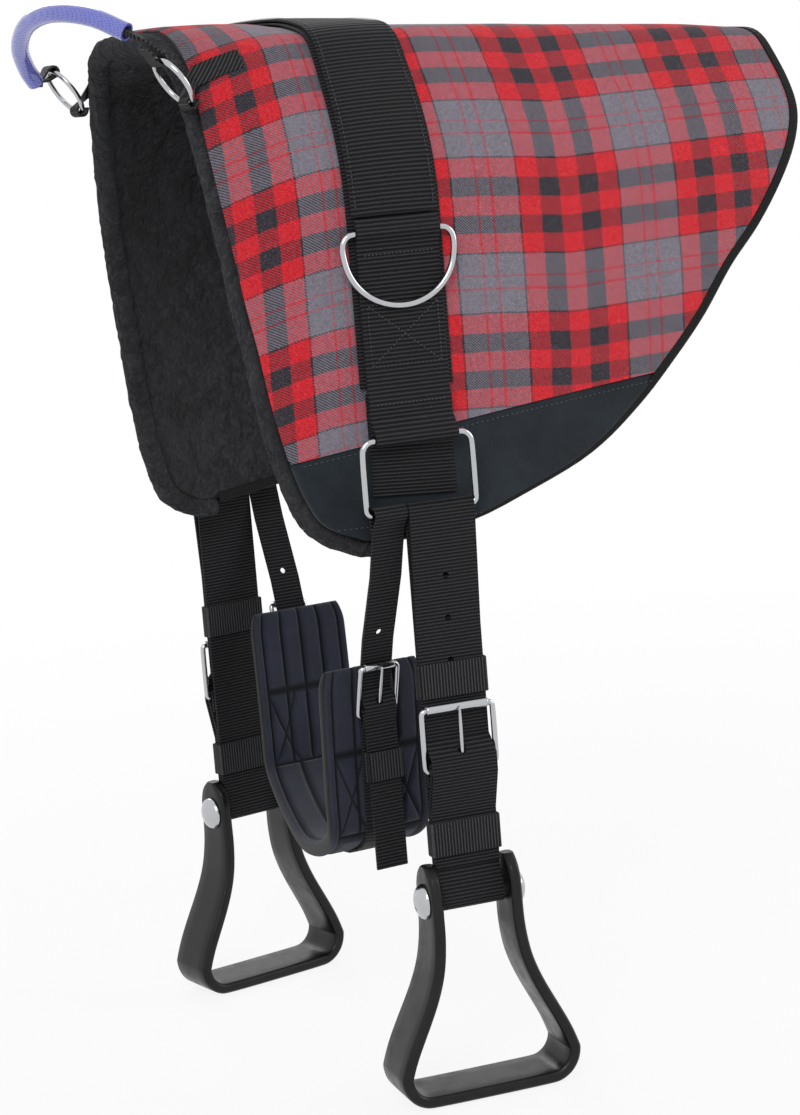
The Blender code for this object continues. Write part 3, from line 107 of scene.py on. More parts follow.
GIRTH_WIDTH = 0.084
GIRTH_THICK = 0.012
GIRTH_TOP_RISE = 0.033
GIRTH_DEPTH = 0.132
GIRTH_WEB_THICK = 0.0022
SEAM_PUFF = 0.50
RING_RADIUS = 0.0195
RING_FORE = 0.008
RING_DROP = 0.049
RING_LEAN = math.radians(57)
HANDLE_WEB_WIDTH = 0.016
GRIP_RADIUS = 0.0068
GRIP_WALL = 0.0016
GRIP_STEPS = 4
GRIP_POINTS = ((0.0147, -0.088, 0.0211), (0.0307, -0.062, 0.0341), (0.0447, -0.025, 0.0396),
               (0.0487, 0.015, 0.0341), (0.0427, 0.052, 0.0196), (0.0297, 0.078, 0.0041),
               (0.0197, 0.088, -0.0069))
LEVEL_SHARE = 0.38
SEAM_PLAIN = 0.80
FRONT_EDGE_SHARES = ((0, 0), (0.30, 0), (0.43, 0.006), (0.61, 0.023), (0.70, 0.035), (0.79, 0.046),
                     (0.885, 0.064), (0.95, 0.085), (0.98, 0.108), (1, 0.158))
REAR_EDGE_SHARES = ((0, 0.95), (0.12, 0.958), (0.20, 0.976), (0.27, 0.988), (0.33, 0.994), (0.386, 0.99),
                    (0.441, 0.967), (0.509, 0.923), (0.565, 0.88), (0.622, 0.826), (0.696, 0.768),
                    (0.753, 0.714), (0.825, 0.637), (0.891, 0.544), (0.94, 0.429), (0.98, 0.313), (1, 0.19))
SECTION_STEPS = 240
REACH = NARROWING / 30
REACH_SHARE = 0.01
NORMAL_SHARE = 0.985
SIDE_SHARE = 0.9


def normals_of(path):
    """For each point of a flat path, the sideways step that keeps a band's width round the bends."""
    steps = []
    for i, (a, b) in enumerate(path):
        before = path[i - 1] if i else None
        after = path[i + 1] if i < len(path) - 1 else None
        first = Vector((a - before[0], b - before[1])).normalized() if before else None
        second = Vector((after[0] - a, after[1] - b)).normalized() if after else first
        first = first or second
        middle = (first + second).normalized()
        side = Vector((middle.y, -middle.x))
        steps.append(side / max(middle.dot(first), 0.5))
    return steps


def smooth_step(share):
    share = min(max(share, 0), 1)
    return share * share * (3 - 2 * share)


def smooth_path(points, steps):
    """A smooth curve through points of any dimension."""
    ends = [2 * points[0] - points[1]] + points + [2 * points[-1] - points[-2]]
    out = []
    for a, b, c, d in zip(ends, ends[1:], ends[2:], ends[3:]):
        for i in range(steps):
            t = i / steps
            out.append(0.5 * (2 * b + (c - a) * t + (2 * a - 5 * b + 4 * c - d) * t * t
                              + (3 * b - a - 3 * c + d) * t * t * t))
    return out + [points[-1]]


def at_share(table, share):
    """A smooth value from a table of pairs of shares."""
    share = min(max(share, table[0][0]), table[-1][0])
    last = len(table) - 2
    i = max(k for k in range(last + 1) if table[k][0] <= share)
    (x1, y1), (x2, y2) = table[i], table[i + 1]
    before, after = table[max(i - 1, 0)], table[min(i + 2, last + 1)]
    width = x2 - x1
    slope1 = (y2 - before[1]) / (x2 - before[0])
    slope2 = (after[1] - y1) / (after[0] - x1)
    u = (share - x1) / width
    return ((2 * u**3 - 3 * u**2 + 1) * y1 + (u**3 - 2 * u**2 + u) * width * slope1
            + (3 * u**2 - 2 * u**3) * y2 + (u**3 - u**2) * width * slope2)


def half_section(crown, lean, shoulder, turn, flank_start, flank):
    """Half of the section across the back, from the spine down to the flap's bottom, in even steps."""
    step = FLAP_DROP / SECTION_STEPS
    y = z = run = 0.0
    points = [(y, z)]
    while -z < FLAP_DROP:
        angle = (lean * min(run / crown, 1) + (turn - lean) * smooth_step((run - crown) / shoulder)
                 + (math.pi / 2 - turn) * smooth_step((run - flank_start) / flank))
        y += step * math.cos(angle)
        z -= step * math.sin(angle)
        run += step
        points.append((y, z))
    return points


FRONT_SECTION = half_section(FRONT_CROWN, 0.0, FRONT_SHOULDER, FRONT_TURN, FRONT_FLANK_START, FRONT_FLANK)
BACK_SECTION = half_section(BACK_CROWN, CROWN_LEAN, BACK_SHOULDER, BACK_TURN, BACK_FLANK_START, BACK_FLANK)


def on_section(section, share):
    place = share * (len(section) - 1)
    i = min(int(place), len(section) - 2)
    part = place - i
    (y1, z1), (y2, z2) = section[i], section[i + 1]
    return y1 + (y2 - y1) * part, z1 + (z2 - z1) * part


def pad_surface(x, share):
    """A point of the cover's outer face. The share runs from -1, the left bottom edge, to 1."""
    front = math.exp(-(x - PAD_FRONT) / NARROWING)
    y1, z1 = on_section(FRONT_SECTION, abs(share))
    y2, z2 = on_section(BACK_SECTION, abs(share))
    y = front * y1 + (1 - front) * y2
    z = front * z1 + (1 - front) * z2
    return Vector((x, math.copysign(y, share), PAD_THICK + z - CREST_FALL * x / PAD_LENGTH))


def pad_normal(x, share):
    """The cover's normal, from the surface a short reach away on each side."""
    along = pad_surface(x + REACH, share) - pad_surface(x - REACH, share)
    down = pad_surface(x, share + REACH_SHARE) - pad_surface(x, share - REACH_SHARE)
    return along.cross(down).normalized()


def pad_point(x, share, depth):
    """A point at a depth under the cover's outer face."""
    inner = min(max(share, -NORMAL_SHARE), NORMAL_SHARE)
    return pad_surface(x, share) - pad_normal(x, inner) * depth


def share_at_drop(section, drop):
    return next(i for i, (_, z) in enumerate(section) if -z >= drop) / (len(section) - 1)


SEAM_SHARE_FRONT = share_at_drop(FRONT_SECTION, SEAM_DROP_FRONT)
SEAM_SHARE_REAR = share_at_drop(BACK_SECTION, SEAM_DROP_REAR)


def edge_x(table, share):
    return PAD_FRONT + PAD_LENGTH * at_share(table, abs(share))


def web_set(share):
    """How far the surcingle's middle stands to the rear: nothing on the left, all of it on the right."""
    return RIGHT_SET * smooth_step(share + 0.5)


def share_at_height(sign, z):
    """The share at which the surface has a height, under the surcingle's middle."""
    low, high = 0.05, 1.0
    for _ in range(24):
        middle = (low + high) / 2
        above = pad_surface(web_set(sign * middle), sign * middle).z > z
        low, high = (middle, high) if above else (low, middle)
    return sign * low


WEB_FACE = WEB_GAP + BACKING_THICK + GAP
WEB_LINE = WEB_FACE + SURCINGLE_THICK / 2
STRAP_RUN = DEE_WIRE / 2 + LOOP_CLEARANCE + STRAP_THICK / 2
LOWER_BAR_OUT = WEB_FACE + DEE_SWING_ROOM + STRAP_RUN + STRAP_THICK / 2
UPPER_BAR_Z = PAD_THICK - UPPER_BAR_DROP
LOWER_BAR_Z = PAD_THICK - LOWER_BAR_DROP
DEE_FOOT_Z = LOWER_BAR_Z - DEE_HEIGHT
LOOPS_WIDTH = STRAP_WIDTH + BILLET_SIDE_GAP + BILLET_WIDTH
BILLET_X = LOOPS_WIDTH / 2 - BILLET_WIDTH / 2


def side_place(sign):
    """Where a side's frame stands and how it is turned: x along the flap and y out of it."""
    x, share = web_set(sign), sign * SIDE_SHARE
    y = pad_surface(x, share).y
    splay = math.atan2(abs(pad_surface(x + REACH, share).y) - abs(y), REACH)
    return Vector((x, y, 0)), splay if sign > 0 else math.pi - splay


def billet_foot(sign):
    """Where a billet hangs on its dee, in the object's axes."""
    place, turn = side_place(sign)
    return place + Matrix.Rotation(turn, 3, "Z") @ Vector((BILLET_X, LOWER_BAR_OUT, DEE_FOOT_Z))


FOOT_LEFT = billet_foot(-1)
FOOT_RIGHT = billet_foot(1)
GIRTH_MIDDLE_Y = (FOOT_LEFT.y + FOOT_RIGHT.y) / 2
FOOT_SPAN = (FOOT_RIGHT.y - FOOT_LEFT.y) / 2
LEG = Vector((-GIRTH_PIVOT_INSET, -GIRTH_PIVOT_FALL))
LEG_ALONG = LEG.normalized()
LEG_OUT = Vector((-LEG_ALONG.y, LEG_ALONG.x))
PIVOT_RUN = GIRTH_BUCKLE_WIRE / 2 + PIVOT_CLEARANCE + GIRTH_WEB_THICK / 2


def girth_half_path():
    """The padded girth's middle line, from its top beside the buckle down to the lowest point."""
    heel = Vector((FOOT_SPAN, DEE_FOOT_Z)) + LEG
    inset = PIVOT_RUN + GIRTH_WEB_THICK / 2 + 3 * GAP + GIRTH_THICK / 2
    top = heel - LEG_ALONG * GIRTH_TOP_RISE - LEG_OUT * (inset + GIRTH_THICK * 0.4)
    bottom = DEE_FOOT_Z - GIRTH_PIVOT_FALL - GIRTH_DEPTH + GIRTH_THICK / 2
    side = heel - LEG_OUT * inset
    fall = side.y - bottom
    return [
        top,
        side,
        Vector((side.x - fall * 0.03, side.y - fall * 0.28)),
        Vector((side.x - fall * 0.05, side.y - fall * 0.52)),
        Vector((side.x * 0.93, side.y - fall * 0.71)),
        Vector((side.x * 0.78, side.y - fall * 0.82)),
        Vector((side.x * 0.42, side.y - fall * 0.94)),
        Vector((0, bottom)),
    ]


def skew(y):
    """Where the girth's middle is along the horse: it runs slantwise from billet to billet."""
    span = FOOT_SPAN - GIRTH_PIVOT_INSET
    share = (y - GIRTH_MIDDLE_Y) / span
    middle = (FOOT_LEFT.x + FOOT_RIGHT.x) / 2
    return middle + (FOOT_RIGHT.x - FOOT_LEFT.x) / 2 * min(max(share, -1), 1)


def mirrored(half):
    return half + [Vector((-p.x, p.y)) for p in reversed(half[:-1])]


LOOP_SAG = RING_RADIUS - math.sqrt(RING_RADIUS**2 - (HANDLE_WEB_WIDTH / 2) ** 2)
RING_AXIS = Vector((-math.cos(RING_LEAN), 0, math.sin(RING_LEAN)))
RING_HOLD = RING_RADIUS - LOOP_SAG / 2
RING_FOOT = Vector((PAD_FRONT - RING_FORE, 0, PAD_THICK - RING_DROP))
RING_HEAD = RING_FOOT + 2 * RING_HOLD * RING_AXIS


def grip_line():
    """The grip's middle line from left to right, by its steps forward, out and up from the rings' heads."""
    points = [RING_HEAD + Vector((-fore, out, rise)) for fore, out, rise in GRIP_POINTS]
    return smooth_path(points, GRIP_STEPS)


# Finishes
TWILL_PITCH = 0.0021
TWILL_RELIEF = 0.0005
NAP_RELIEF = 0.0004
CURL_BEND = 0.007
PILE_RELIEF = 0.0045
CORD_PITCH = 0.0011
RIB_WANDER = 0.0006
RIB_RELIEF = 0.0006
PLATE_RELIEF = 0.00008
NYLON_RELIEF = 0.0001
QUILT_RELIEF = 0.0003


def feed(tree, socket, value):
    """Gives a socket a plain value or another node's output."""
    if isinstance(value, bpy.types.NodeSocket):
        tree.links.new(value, socket)
    else:
        socket.default_value = value


def add(tree, kind, inputs=None, **settings):
    """A shader node with its settings and what its sockets take."""
    made = tree.nodes.new("ShaderNode" + kind)
    for name, value in settings.items():
        setattr(made, name, value)
    for name, value in (inputs or {}).items():
        feed(tree, made.inputs[name], value)
    return made


def maths(tree, operation, *values):
    return add(tree, "Math", dict(enumerate(values)), operation=operation).outputs[0]


def plus(tree, first, second):
    return maths(tree, "ADD", first, second)


def times(tree, first, second):
    return maths(tree, "MULTIPLY", first, second)


def scaled(tree, value, share, start):
    """A share of a value, on top of a start."""
    return maths(tree, "MULTIPLY_ADD", value, share, start)


def ranged(tree, value, low, high, first=0.0, last=1.0):
    """A value whose stretch from low to high is spread from first to last."""
    return add(tree, "MapRange", {0: value, 1: low, 2: high, 3: first, 4: last}).outputs[0]


def rolling(tree, run, pitch):
    """Waves along a run of metres, from 0 to 1."""
    turns = maths(tree, "DIVIDE", run, pitch)
    return scaled(tree, maths(tree, "SINE", times(tree, turns, 2 * math.pi)), 0.5, 0.5)


def mixed(tree, share, first, second):
    made = add(tree, "Mix", data_type="RGBA")
    for name, value in (("Factor_Float", share), ("A_Color", first), ("B_Color", second)):
        feed(tree, next(s for s in made.inputs if s.identifier == name), value)
    return next(s for s in made.outputs if s.identifier == "Result_Color")


def colour(red, green, blue):
    """A linear colour from the eight-bit values of a screen colour."""
    def linear(value):
        value /= 255
        return value / 12.92 if value <= 0.04045 else ((value + 0.055) / 1.055) ** 2.4

    return linear(red), linear(green), linear(blue), 1.0


def finish(name, roughness, metallic=0.0, **shine):
    made = bpy.data.materials.new(name)
    made.use_nodes = True
    shader = made.node_tree.nodes["Principled BSDF"]
    shader.inputs["Roughness"].default_value = roughness
    shader.inputs["Metallic"].default_value = metallic
    for socket, value in shine.items():
        shader.inputs[socket.replace("_", " ")].default_value = value
    return made, made.node_tree, shader


def painted(tree, shader, share, first, second):
    """Gives a finish the mix of two colours."""
    tree.links.new(mixed(tree, share, first, second), shader.inputs["Base Color"])


def bumped(tree, shader, height, distance, strength=1.0):
    bump = add(tree, "Bump", {"Height": height, "Distance": distance, "Strength": strength})
    tree.links.new(bump.outputs[0], shader.inputs["Normal"])


def grain(tree, where, scale, detail=2.0, rough=0.5):
    settings = {"Vector": where, "Scale": scale, "Detail": detail, "Roughness": rough}
    return add(tree, "TexNoise", settings).outputs[0]


def object_place(tree):
    return add(tree, "TexCoord").outputs["Object"]


def uv_place(tree, name):
    return add(tree, "UVMap", uv_map=name).outputs[0]


RED_YARN = colour(224, 30, 42)
LINE_YARN = colour(186, 76, 88)
BLACK_YARN = colour(46, 44, 52)
GREY_YARN = colour(132, 127, 138)
FLECK = colour(186, 166, 176)
# The plaid's order of threads, as shares of one repeat
THREAD_ORDER = ((0.0, RED_YARN), (0.12, BLACK_YARN), (0.24, RED_YARN), (0.36, BLACK_YARN), (0.48, RED_YARN),
                (0.60, BLACK_YARN), (0.612, GREY_YARN), (0.745, LINE_YARN), (0.757, GREY_YARN),
                (0.828, LINE_YARN), (0.84, GREY_YARN), (0.988, BLACK_YARN))


def threads(tree, repeats):
    """The colour of the threads that run one way, from the repeats counted across them."""
    ramp = add(tree, "ValToRGB", {"Fac": maths(tree, "FRACT", repeats)})
    band = ramp.color_ramp
    band.interpolation = "CONSTANT"
    for i, (share, yarn) in enumerate(THREAD_ORDER):
        stop = band.elements[i] if i < len(band.elements) else band.elements.new(share)
        stop.position, stop.color = share, yarn
    return ramp.outputs[0]


def plaid_cloth():
    made, tree, shader = finish("plaid_twill", 0.95, Sheen_Weight=0.12, Sheen_Roughness=0.6,
                                Specular_IOR_Level=0.15)
    place = object_place(tree)
    repeat = add(tree, "SeparateXYZ", {0: uv_place(tree, "Plaid")})
    thread = add(tree, "SeparateXYZ", {0: uv_place(tree, "Thread")})
    fuzz = grain(tree, place, 900, 3.0, 0.7)
    wobble = times(tree, maths(tree, "SUBTRACT", grain(tree, place, 260, 1.0), 0.5), 0.012)
    warp = threads(tree, plus(tree, repeat.outputs[0], wobble))
    weft = threads(tree, plus(tree, repeat.outputs[1], wobble))
    slant = maths(tree, "DIVIDE", plus(tree, thread.outputs[0], thread.outputs[1]), TWILL_PITCH)
    slant = plus(tree, slant, times(tree, fuzz, 0.35))
    wave = maths(tree, "SINE", times(tree, slant, 2 * math.pi))
    yarn = mixed(tree, ranged(tree, wave, -0.7, 0.7, 0.12, 0.88), warp, weft)
    fleck = ranged(tree, grain(tree, place, 1400, 2.0, 0.8), 0.52, 0.70)
    yarn = mixed(tree, times(tree, fleck, 0.30), yarn, FLECK)
    shade = ranged(tree, grain(tree, place, 420, 3.0, 0.7), 0.3, 0.7, 0.74, 1.12)
    value = add(tree, "HueSaturation", {"Color": yarn, "Value": shade})
    tree.links.new(value.outputs[0], shader.inputs["Base Color"])
    bumped(tree, shader, plus(tree, times(tree, wave, 0.25), fuzz), TWILL_RELIEF, 0.7)
    return made


def suede_nap():
    made, tree, shader = finish("napped_suede", 0.92, Sheen_Weight=0.2, Sheen_Roughness=0.5,
                                Specular_IOR_Level=0.2)
    place = object_place(tree)
    cloud = ranged(tree, grain(tree, place, 22, 5.0, 0.65), 0.35, 0.68)
    base = mixed(tree, cloud, colour(19, 23, 27), colour(37, 44, 50))
    nap = grain(tree, place, 1100, 2.0, 0.7)
    painted(tree, shader, times(tree, nap, 0.35), base, colour(54, 61, 68))
    bumped(tree, shader, nap, NAP_RELIEF, 0.6)
    return made


def fleece_pile():
    made, tree, shader = finish("fleece_pile", 1.0, Sheen_Weight=0.13, Sheen_Roughness=0.7,
                                Specular_IOR_Level=0.1)
    place = object_place(tree)
    drift = add(tree, "TexNoise", {"Vector": place, "Scale": 140.0, "Detail": 2.0}).outputs[1]
    bend = {0: drift, 1: (CURL_BEND, CURL_BEND, CURL_BEND), 2: place}
    bent = add(tree, "VectorMath", bend, operation="MULTIPLY_ADD").outputs[0]
    curl = add(tree, "TexVoronoi", {"Vector": bent, "Scale": 190.0, "Randomness": 1.0}).outputs[0]
    crown = ranged(tree, curl, 0.62, 0.10)
    clump = add(tree, "TexNoise", {"Vector": bent, "Scale": 46.0, "Detail": 4.0, "Roughness": 0.6,
                                   "Distortion": 1.4}).outputs[0]
    clump = ranged(tree, clump, 0.36, 0.60)
    strand = grain(tree, bent, 1100, 3.0, 0.8)
    # Painted shade and highlight: the crevices between the curls are painted dark and the curls' crowns
    # painted light, varied by the strands and clumps.
    lit = times(tree, scaled(tree, crown, 0.45, 0.35), scaled(tree, strand, 1.5, -0.1))
    lit = times(tree, lit, scaled(tree, clump, 0.8, 0.35))
    painted(tree, shader, lit, colour(7, 7, 9), colour(80, 81, 88))
    height = plus(tree, times(tree, crown, 0.5), scaled(tree, strand, 0.4, clump))
    bumped(tree, shader, height, PILE_RELIEF)
    return made


def webbing_rib(name, pitch, dark=(9, 9, 11), light=(74, 74, 78)):
    """Ribbed webbing: the Web map runs across in its first value and along in its second, in metres."""
    made, tree, shader = finish(name, 0.66, Sheen_Weight=0.04, Sheen_Roughness=0.4, Specular_IOR_Level=0.16)
    place = uv_place(tree, "Web")
    web = add(tree, "SeparateXYZ", {0: place})
    wander = times(tree, grain(tree, place, 300, 1.0), RIB_WANDER)
    rib = rolling(tree, plus(tree, web.outputs[1], wander), pitch)
    cord = rolling(tree, web.outputs[0], CORD_PITCH)
    speck = grain(tree, place, 1500, 2.0, 0.8)
    # Painted highlight: the crests of the ribs and cords are painted in the light colour and their hollows
    # in the dark one, with random specks.
    lit = times(tree, maths(tree, "POWER", rib, 2.2), scaled(tree, speck, 1.1, 0.15))
    lit = times(tree, lit, scaled(tree, cord, 0.45, 0.6))
    painted(tree, shader, lit, colour(*dark), colour(*light))
    bumped(tree, shader, plus(tree, rib, times(tree, cord, 0.25)), RIB_RELIEF, 0.9)
    return made


def bright_plate():
    made, tree, shader = finish("bright_plate", 0.14, 1.0)
    place = object_place(tree)
    shader.inputs["Base Color"].default_value = colour(186, 187, 190)
    rub = ranged(tree, grain(tree, place, 130, 4.0, 0.7), 0.35, 0.75, 0.09, 0.26)
    tree.links.new(rub, shader.inputs["Roughness"])
    bumped(tree, shader, grain(tree, place, 420, 2.0, 0.6), PLATE_RELIEF, 0.35)
    return made


def moulded_nylon():
    made, tree, shader = finish("moulded_nylon", 0.34, Specular_IOR_Level=0.28)
    place = object_place(tree)
    rub = ranged(tree, grain(tree, place, 60, 5.0, 0.7), 0.4, 0.75)
    painted(tree, shader, rub, colour(13, 13, 14), colour(27, 27, 28))
    tree.links.new(scaled(tree, rub, 0.2, 0.28), shader.inputs["Roughness"])
    bumped(tree, shader, grain(tree, place, 900, 2.0, 0.6), NYLON_RELIEF, 0.3)
    return made


def quilted_cloth():
    made, tree, shader = finish("quilted_cloth", 0.88, Sheen_Weight=0.15, Sheen_Roughness=0.5,
                                Specular_IOR_Level=0.2)
    place = object_place(tree)
    weave = add(tree, "TexWave", {"Vector": place, "Scale": 420.0, "Distortion": 1.5},
                bands_direction="DIAGONAL").outputs[1]
    puff = add(tree, "SeparateXYZ", {0: uv_place(tree, "Puff")}).outputs[0]
    cloth = mixed(tree, grain(tree, place, 40, 3.0, 0.6), colour(36, 38, 50), colour(54, 56, 70))
    # Painted shade: the seams, slanted seams and the border's rim are painted dark, partly as their own dark
    # thread and partly as shade in the grooves, fading out as the puff rises.
    painted(tree, shader, ranged(tree, puff, SEAM_PUFF, 0.74), colour(9, 10, 14), cloth)
    bumped(tree, shader, plus(tree, weave, grain(tree, place, 1200, 2.0)), QUILT_RELIEF, 0.5)
    return made


def clear_tubing():
    made, tree, shader = finish("clear_tubing", 0.14, Transmission_Weight=0.12, IOR=1.4, Coat_Weight=0.7)
    place = object_place(tree)
    net = add(tree, "TexVoronoi", {"Vector": place, "Scale": 560.0, "Randomness": 0.1}).outputs[0]
    dots = times(tree, ranged(tree, net, 0.18, 0.42), 0.6)
    base = mixed(tree, grain(tree, place, 30, 2.0), colour(38, 42, 168), colour(76, 80, 202))
    painted(tree, shader, dots, base, colour(160, 166, 242))
    return made


def plain_thread(name, shade):
    made, tree, shader = finish(name, 0.6)
    lit = [value + 26 for value in shade]
    painted(tree, shader, grain(tree, object_place(tree), 2400, 2.0), colour(*shade), colour(*lit))
    return made


FINISH = {
    "plaid_cloth": plaid_cloth(), "dark_suede": suede_nap(), "black_fleece": fleece_pile(),
    "nickel_plate": bright_plate(), "black_nylon": moulded_nylon(), "navy_quilting": quilted_cloth(),
    "blue_tubing": clear_tubing(), "black_webbing": webbing_rib("webbing_ribbed", 0.0030),
    "black_tape": webbing_rib("tape_ribbed", 0.0014, (14, 14, 15), (38, 38, 40)),
}
STRAP_FINISH = webbing_rib("webbing_strap", 0.0026, (8, 8, 10), (72, 72, 76))
KEEPER_FINISH = webbing_rib("webbing_keeper", 0.0024, (12, 12, 14), (92, 92, 96))
HANDLE_FINISH = webbing_rib("webbing_handle", 0.0021, (15, 15, 17), (92, 92, 94))
DARK_THREAD = plain_thread("thread_black", (52, 52, 56))
GREY_THREAD = plain_thread("thread_grey", (56, 60, 66))


# Pieces
BEVEL_ANGLE = math.radians(40)


def piece(name, bm, body, slot, surface=None, stands_for=(), smooth=35, levels=0, bevel=0.0):
    """A finished piece that rides on its body and stands for its nodes of the frame."""
    mesh = bpy.data.meshes.new(name)
    bm.to_mesh(mesh)
    bm.free()
    mesh.polygons.foreach_set("use_smooth", [True] * len(mesh.polygons))
    if not levels:
        mesh.set_sharp_from_angle(angle=math.radians(smooth))
    mesh.materials.append(surface or FINISH[slot])
    made = bpy.data.objects.new(name, mesh)
    bpy.context.scene.collection.objects.link(made)
    if bevel:
        edge = made.modifiers.new("Edge", "BEVEL")
        edge.width, edge.segments, edge.limit_method, edge.angle_limit = bevel, 2, "ANGLE", BEVEL_ANGLE
    if levels:
        soft = made.modifiers.new("Soft", "SUBSURF")
        soft.levels = soft.render_levels = levels
    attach(made, body)
    if stands_for:
        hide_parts(*stands_for)
    return made


def row_at(share, column_share):
    """The share of the way down of a mesh row, with the seam's row on the seam."""
    plain = abs(share)
    seam = SEAM_SHARE_FRONT + (SEAM_SHARE_REAR - SEAM_SHARE_FRONT) * column_share
    if plain <= SEAM_PLAIN:
        made = plain + (seam - SEAM_PLAIN) * max(plain - LEVEL_SHARE, 0) / (SEAM_PLAIN - LEVEL_SHARE)
    else:
        made = 1 - (1 - plain) * (1 - seam) / (1 - SEAM_PLAIN)
    return math.copysign(made, share) if share else 0.0


def cover_place(row, column, depth):
    """A point of the pad for a row share from -1 to 1 and a column share from front to rear, at a depth."""
    share = row_at(row, column)
    front, rear = edge_x(FRONT_EDGE_SHARES, share), edge_x(REAR_EDGE_SHARES, share)
    return pad_point(front + (rear - front) * column, share, depth)


def even(low, high, count):
    return [low + (high - low) * i / count for i in range(count + 1)]


def layer(rows, columns, outer, inner, maps=None):
    """A closed sheet over rows and columns, between an outer and an inner place for each row and column."""
    bm = bmesh.new()
    bmesh.ops.create_grid(bm, x_segments=len(columns) - 1, y_segments=len(rows) - 1, size=1)

    def spot_of(vert):
        i = round((vert.co.x + 1) / 2 * (len(columns) - 1))
        j = round((vert.co.y + 1) / 2 * (len(rows) - 1))
        return rows[j], columns[i]

    spots = {vert: spot_of(vert) for vert in bm.verts}
    for name, call in (maps or {}).items():
        uv = bm.loops.layers.uv.new(name)
        values = {vert: call(*spot) for vert, spot in spots.items()}
        for face in bm.faces:
            for loop in face.loops:
                loop[uv].uv = values[loop.vert]
    made = bmesh.ops.extrude_face_region(bm, geom=bm.faces[:])
    for vert in made["geom"]:
        if isinstance(vert, bmesh.types.BMVert):
            vert.co = inner(*spot_of(vert))
    for vert, spot in spots.items():
        vert.co = outer(*spot)
    bmesh.ops.recalc_face_normals(bm, faces=bm.faces[:])
    return bm


def ripple(point, scale, seed):
    return noise.noise(Vector((point.x * scale + seed, point.y * scale - seed, point.z * scale)))


# The plaid's repeats, as measured: their place along the pad, and how far they are shifted down it
REPEAT_AT = ((-0.15, -0.16), (-0.067, 0.60), (-0.020, 1.0), (0.045, 1.6), (0.101, 2.0), (0.185, 2.6),
             (0.2375, 3.0), (0.322, 3.6), (0.38, 4.0))
DOWN_SHIFT = ((-0.12, -0.021), (-0.06, -0.016), (0.03, -0.006), (0.141, 0.0), (0.28, -0.012), (0.37, -0.020))
DOWN_REPEAT = 0.113
DOWN_START = 0.2301
SHIFT_FADE = 0.1
ARC_STEPS = 80
ARC_COLUMNS = 24


def runs_along(line):
    """The distance to each point of a line from its start."""
    runs = [0.0]
    for a, b in zip(line, line[1:]):
        runs.append(runs[-1] + (b - a).length)
    return runs


def way_down(column):
    """Points of the cover from the spine down to its edge, at even shares."""
    return [pad_surface(PAD_FRONT + PAD_LENGTH * column, share) for share in even(0, 1, ARC_STEPS)]


ARC_TABLE = [runs_along(way_down(column)) for column in even(0, 1, ARC_COLUMNS)]


def distance_down(x, share):
    """The distance down the cover from the spine to a share, without its sign."""
    place = min(max((x - PAD_FRONT) / PAD_LENGTH, 0), 1) * ARC_COLUMNS
    i = min(int(place), ARC_COLUMNS - 1)
    k = min(int(abs(share) * ARC_STEPS), ARC_STEPS - 1)
    part, rest = place - i, abs(share) * ARC_STEPS - k
    runs = [table[k] + (table[k + 1] - table[k]) * rest for table in ARC_TABLE[i:i + 2]]
    return runs[0] + (runs[1] - runs[0]) * part


def line_share(table, value):
    """A value between the pairs of a table, in straight steps."""
    for (x1, y1), (x2, y2) in zip(table, table[1:]):
        if value <= x2:
            break
    return y1 + (y2 - y1) * (value - x1) / (x2 - x1)


def thread_place(row, column):
    """The place along the pad and the distance down it, which grows to the right side."""
    share = row_at(row, column)
    x = cover_place(row, column, 0).x
    return x, math.copysign(distance_down(x, share), share)


def plaid_phase(row, column):
    """The plaid's repeats along the pad and down it."""
    x, aside = thread_place(row, column)
    shift = line_share(DOWN_SHIFT, x) * smooth_step(-aside / SHIFT_FADE)
    return line_share(REPEAT_AT, x), (-aside - shift - DOWN_START) / DOWN_REPEAT


# Layers of the pad
COVER_ROWS, COVER_COLUMNS = 180, 110
COVER_BACKING = 0.0014
COVER_SWELL = 0.0022
CLOTH_RIPPLE = 0.0007
RIPPLE_FADE = 0.001
EDGE_TURN = 0.022
EDGE_DIP = 0.0022
SUEDE_ROWS = 44
SUEDE_BACKING = 0.0012
SUEDE_SWELL = 0.0013
SUEDE_DIP = 0.0016
SUEDE_TUCK = 0.004
FILLING_ROWS, FILLING_COLUMNS = 80, 40
FILLING_SET = 0.0018
FILLING_TRIM = 0.002
LINING_ROWS, LINING_COLUMNS = 250, 150
LINING_SET = 0.001
LINING_DIP = 0.003
PILE_DEPTH = 0.0022


def edge_dip(row, column):
    """How far the cloth turns down towards the edges, so that they look rolled."""
    low_end = SEAM_PLAIN + EDGE_TURN
    near = min(column / EDGE_TURN, (1 - column) / EDGE_TURN, (low_end - abs(row)) / EDGE_TURN, 1)
    return EDGE_DIP * (1 - near) ** 2


def quilt_swell(row, column):
    """The padding's swell between the cover's seams, the web down its middle and the edges."""
    share = row_at(row, column)
    x = cover_place(row, column, 0).x
    aside = abs(x - web_set(share)) / (BACKING_WIDTH * 0.5)
    pressed = smooth_step((aside - 0.9) / 0.7)
    free = min(column / 0.1, (1 - column) / 0.12, (SEAM_PLAIN - abs(row)) / 0.1, 1)
    return COVER_SWELL * pressed * smooth_step(free)


def cover_top(row, column):
    point = cover_place(row, column, 0)
    swell = quilt_swell(row, column)
    lift = swell - edge_dip(row, column)
    lift += CLOTH_RIPPLE * ripple(point, 26, 3.1) * min(1, swell / RIPPLE_FADE)
    return cover_place(row, column, -lift)


def make_cover():
    rows, columns = even(-SEAM_PLAIN, SEAM_PLAIN, COVER_ROWS), even(0, 1, COVER_COLUMNS)
    bm = layer(rows, columns, cover_top, lambda r, c: cover_place(r, c, COVER_THICK + COVER_BACKING),
               {"Plaid": plaid_phase, "Thread": thread_place})
    cover = piece("plaid_cover_cloth", bm, "pad", "plaid_cloth", stands_for=("plaid_cover",), smooth=60)


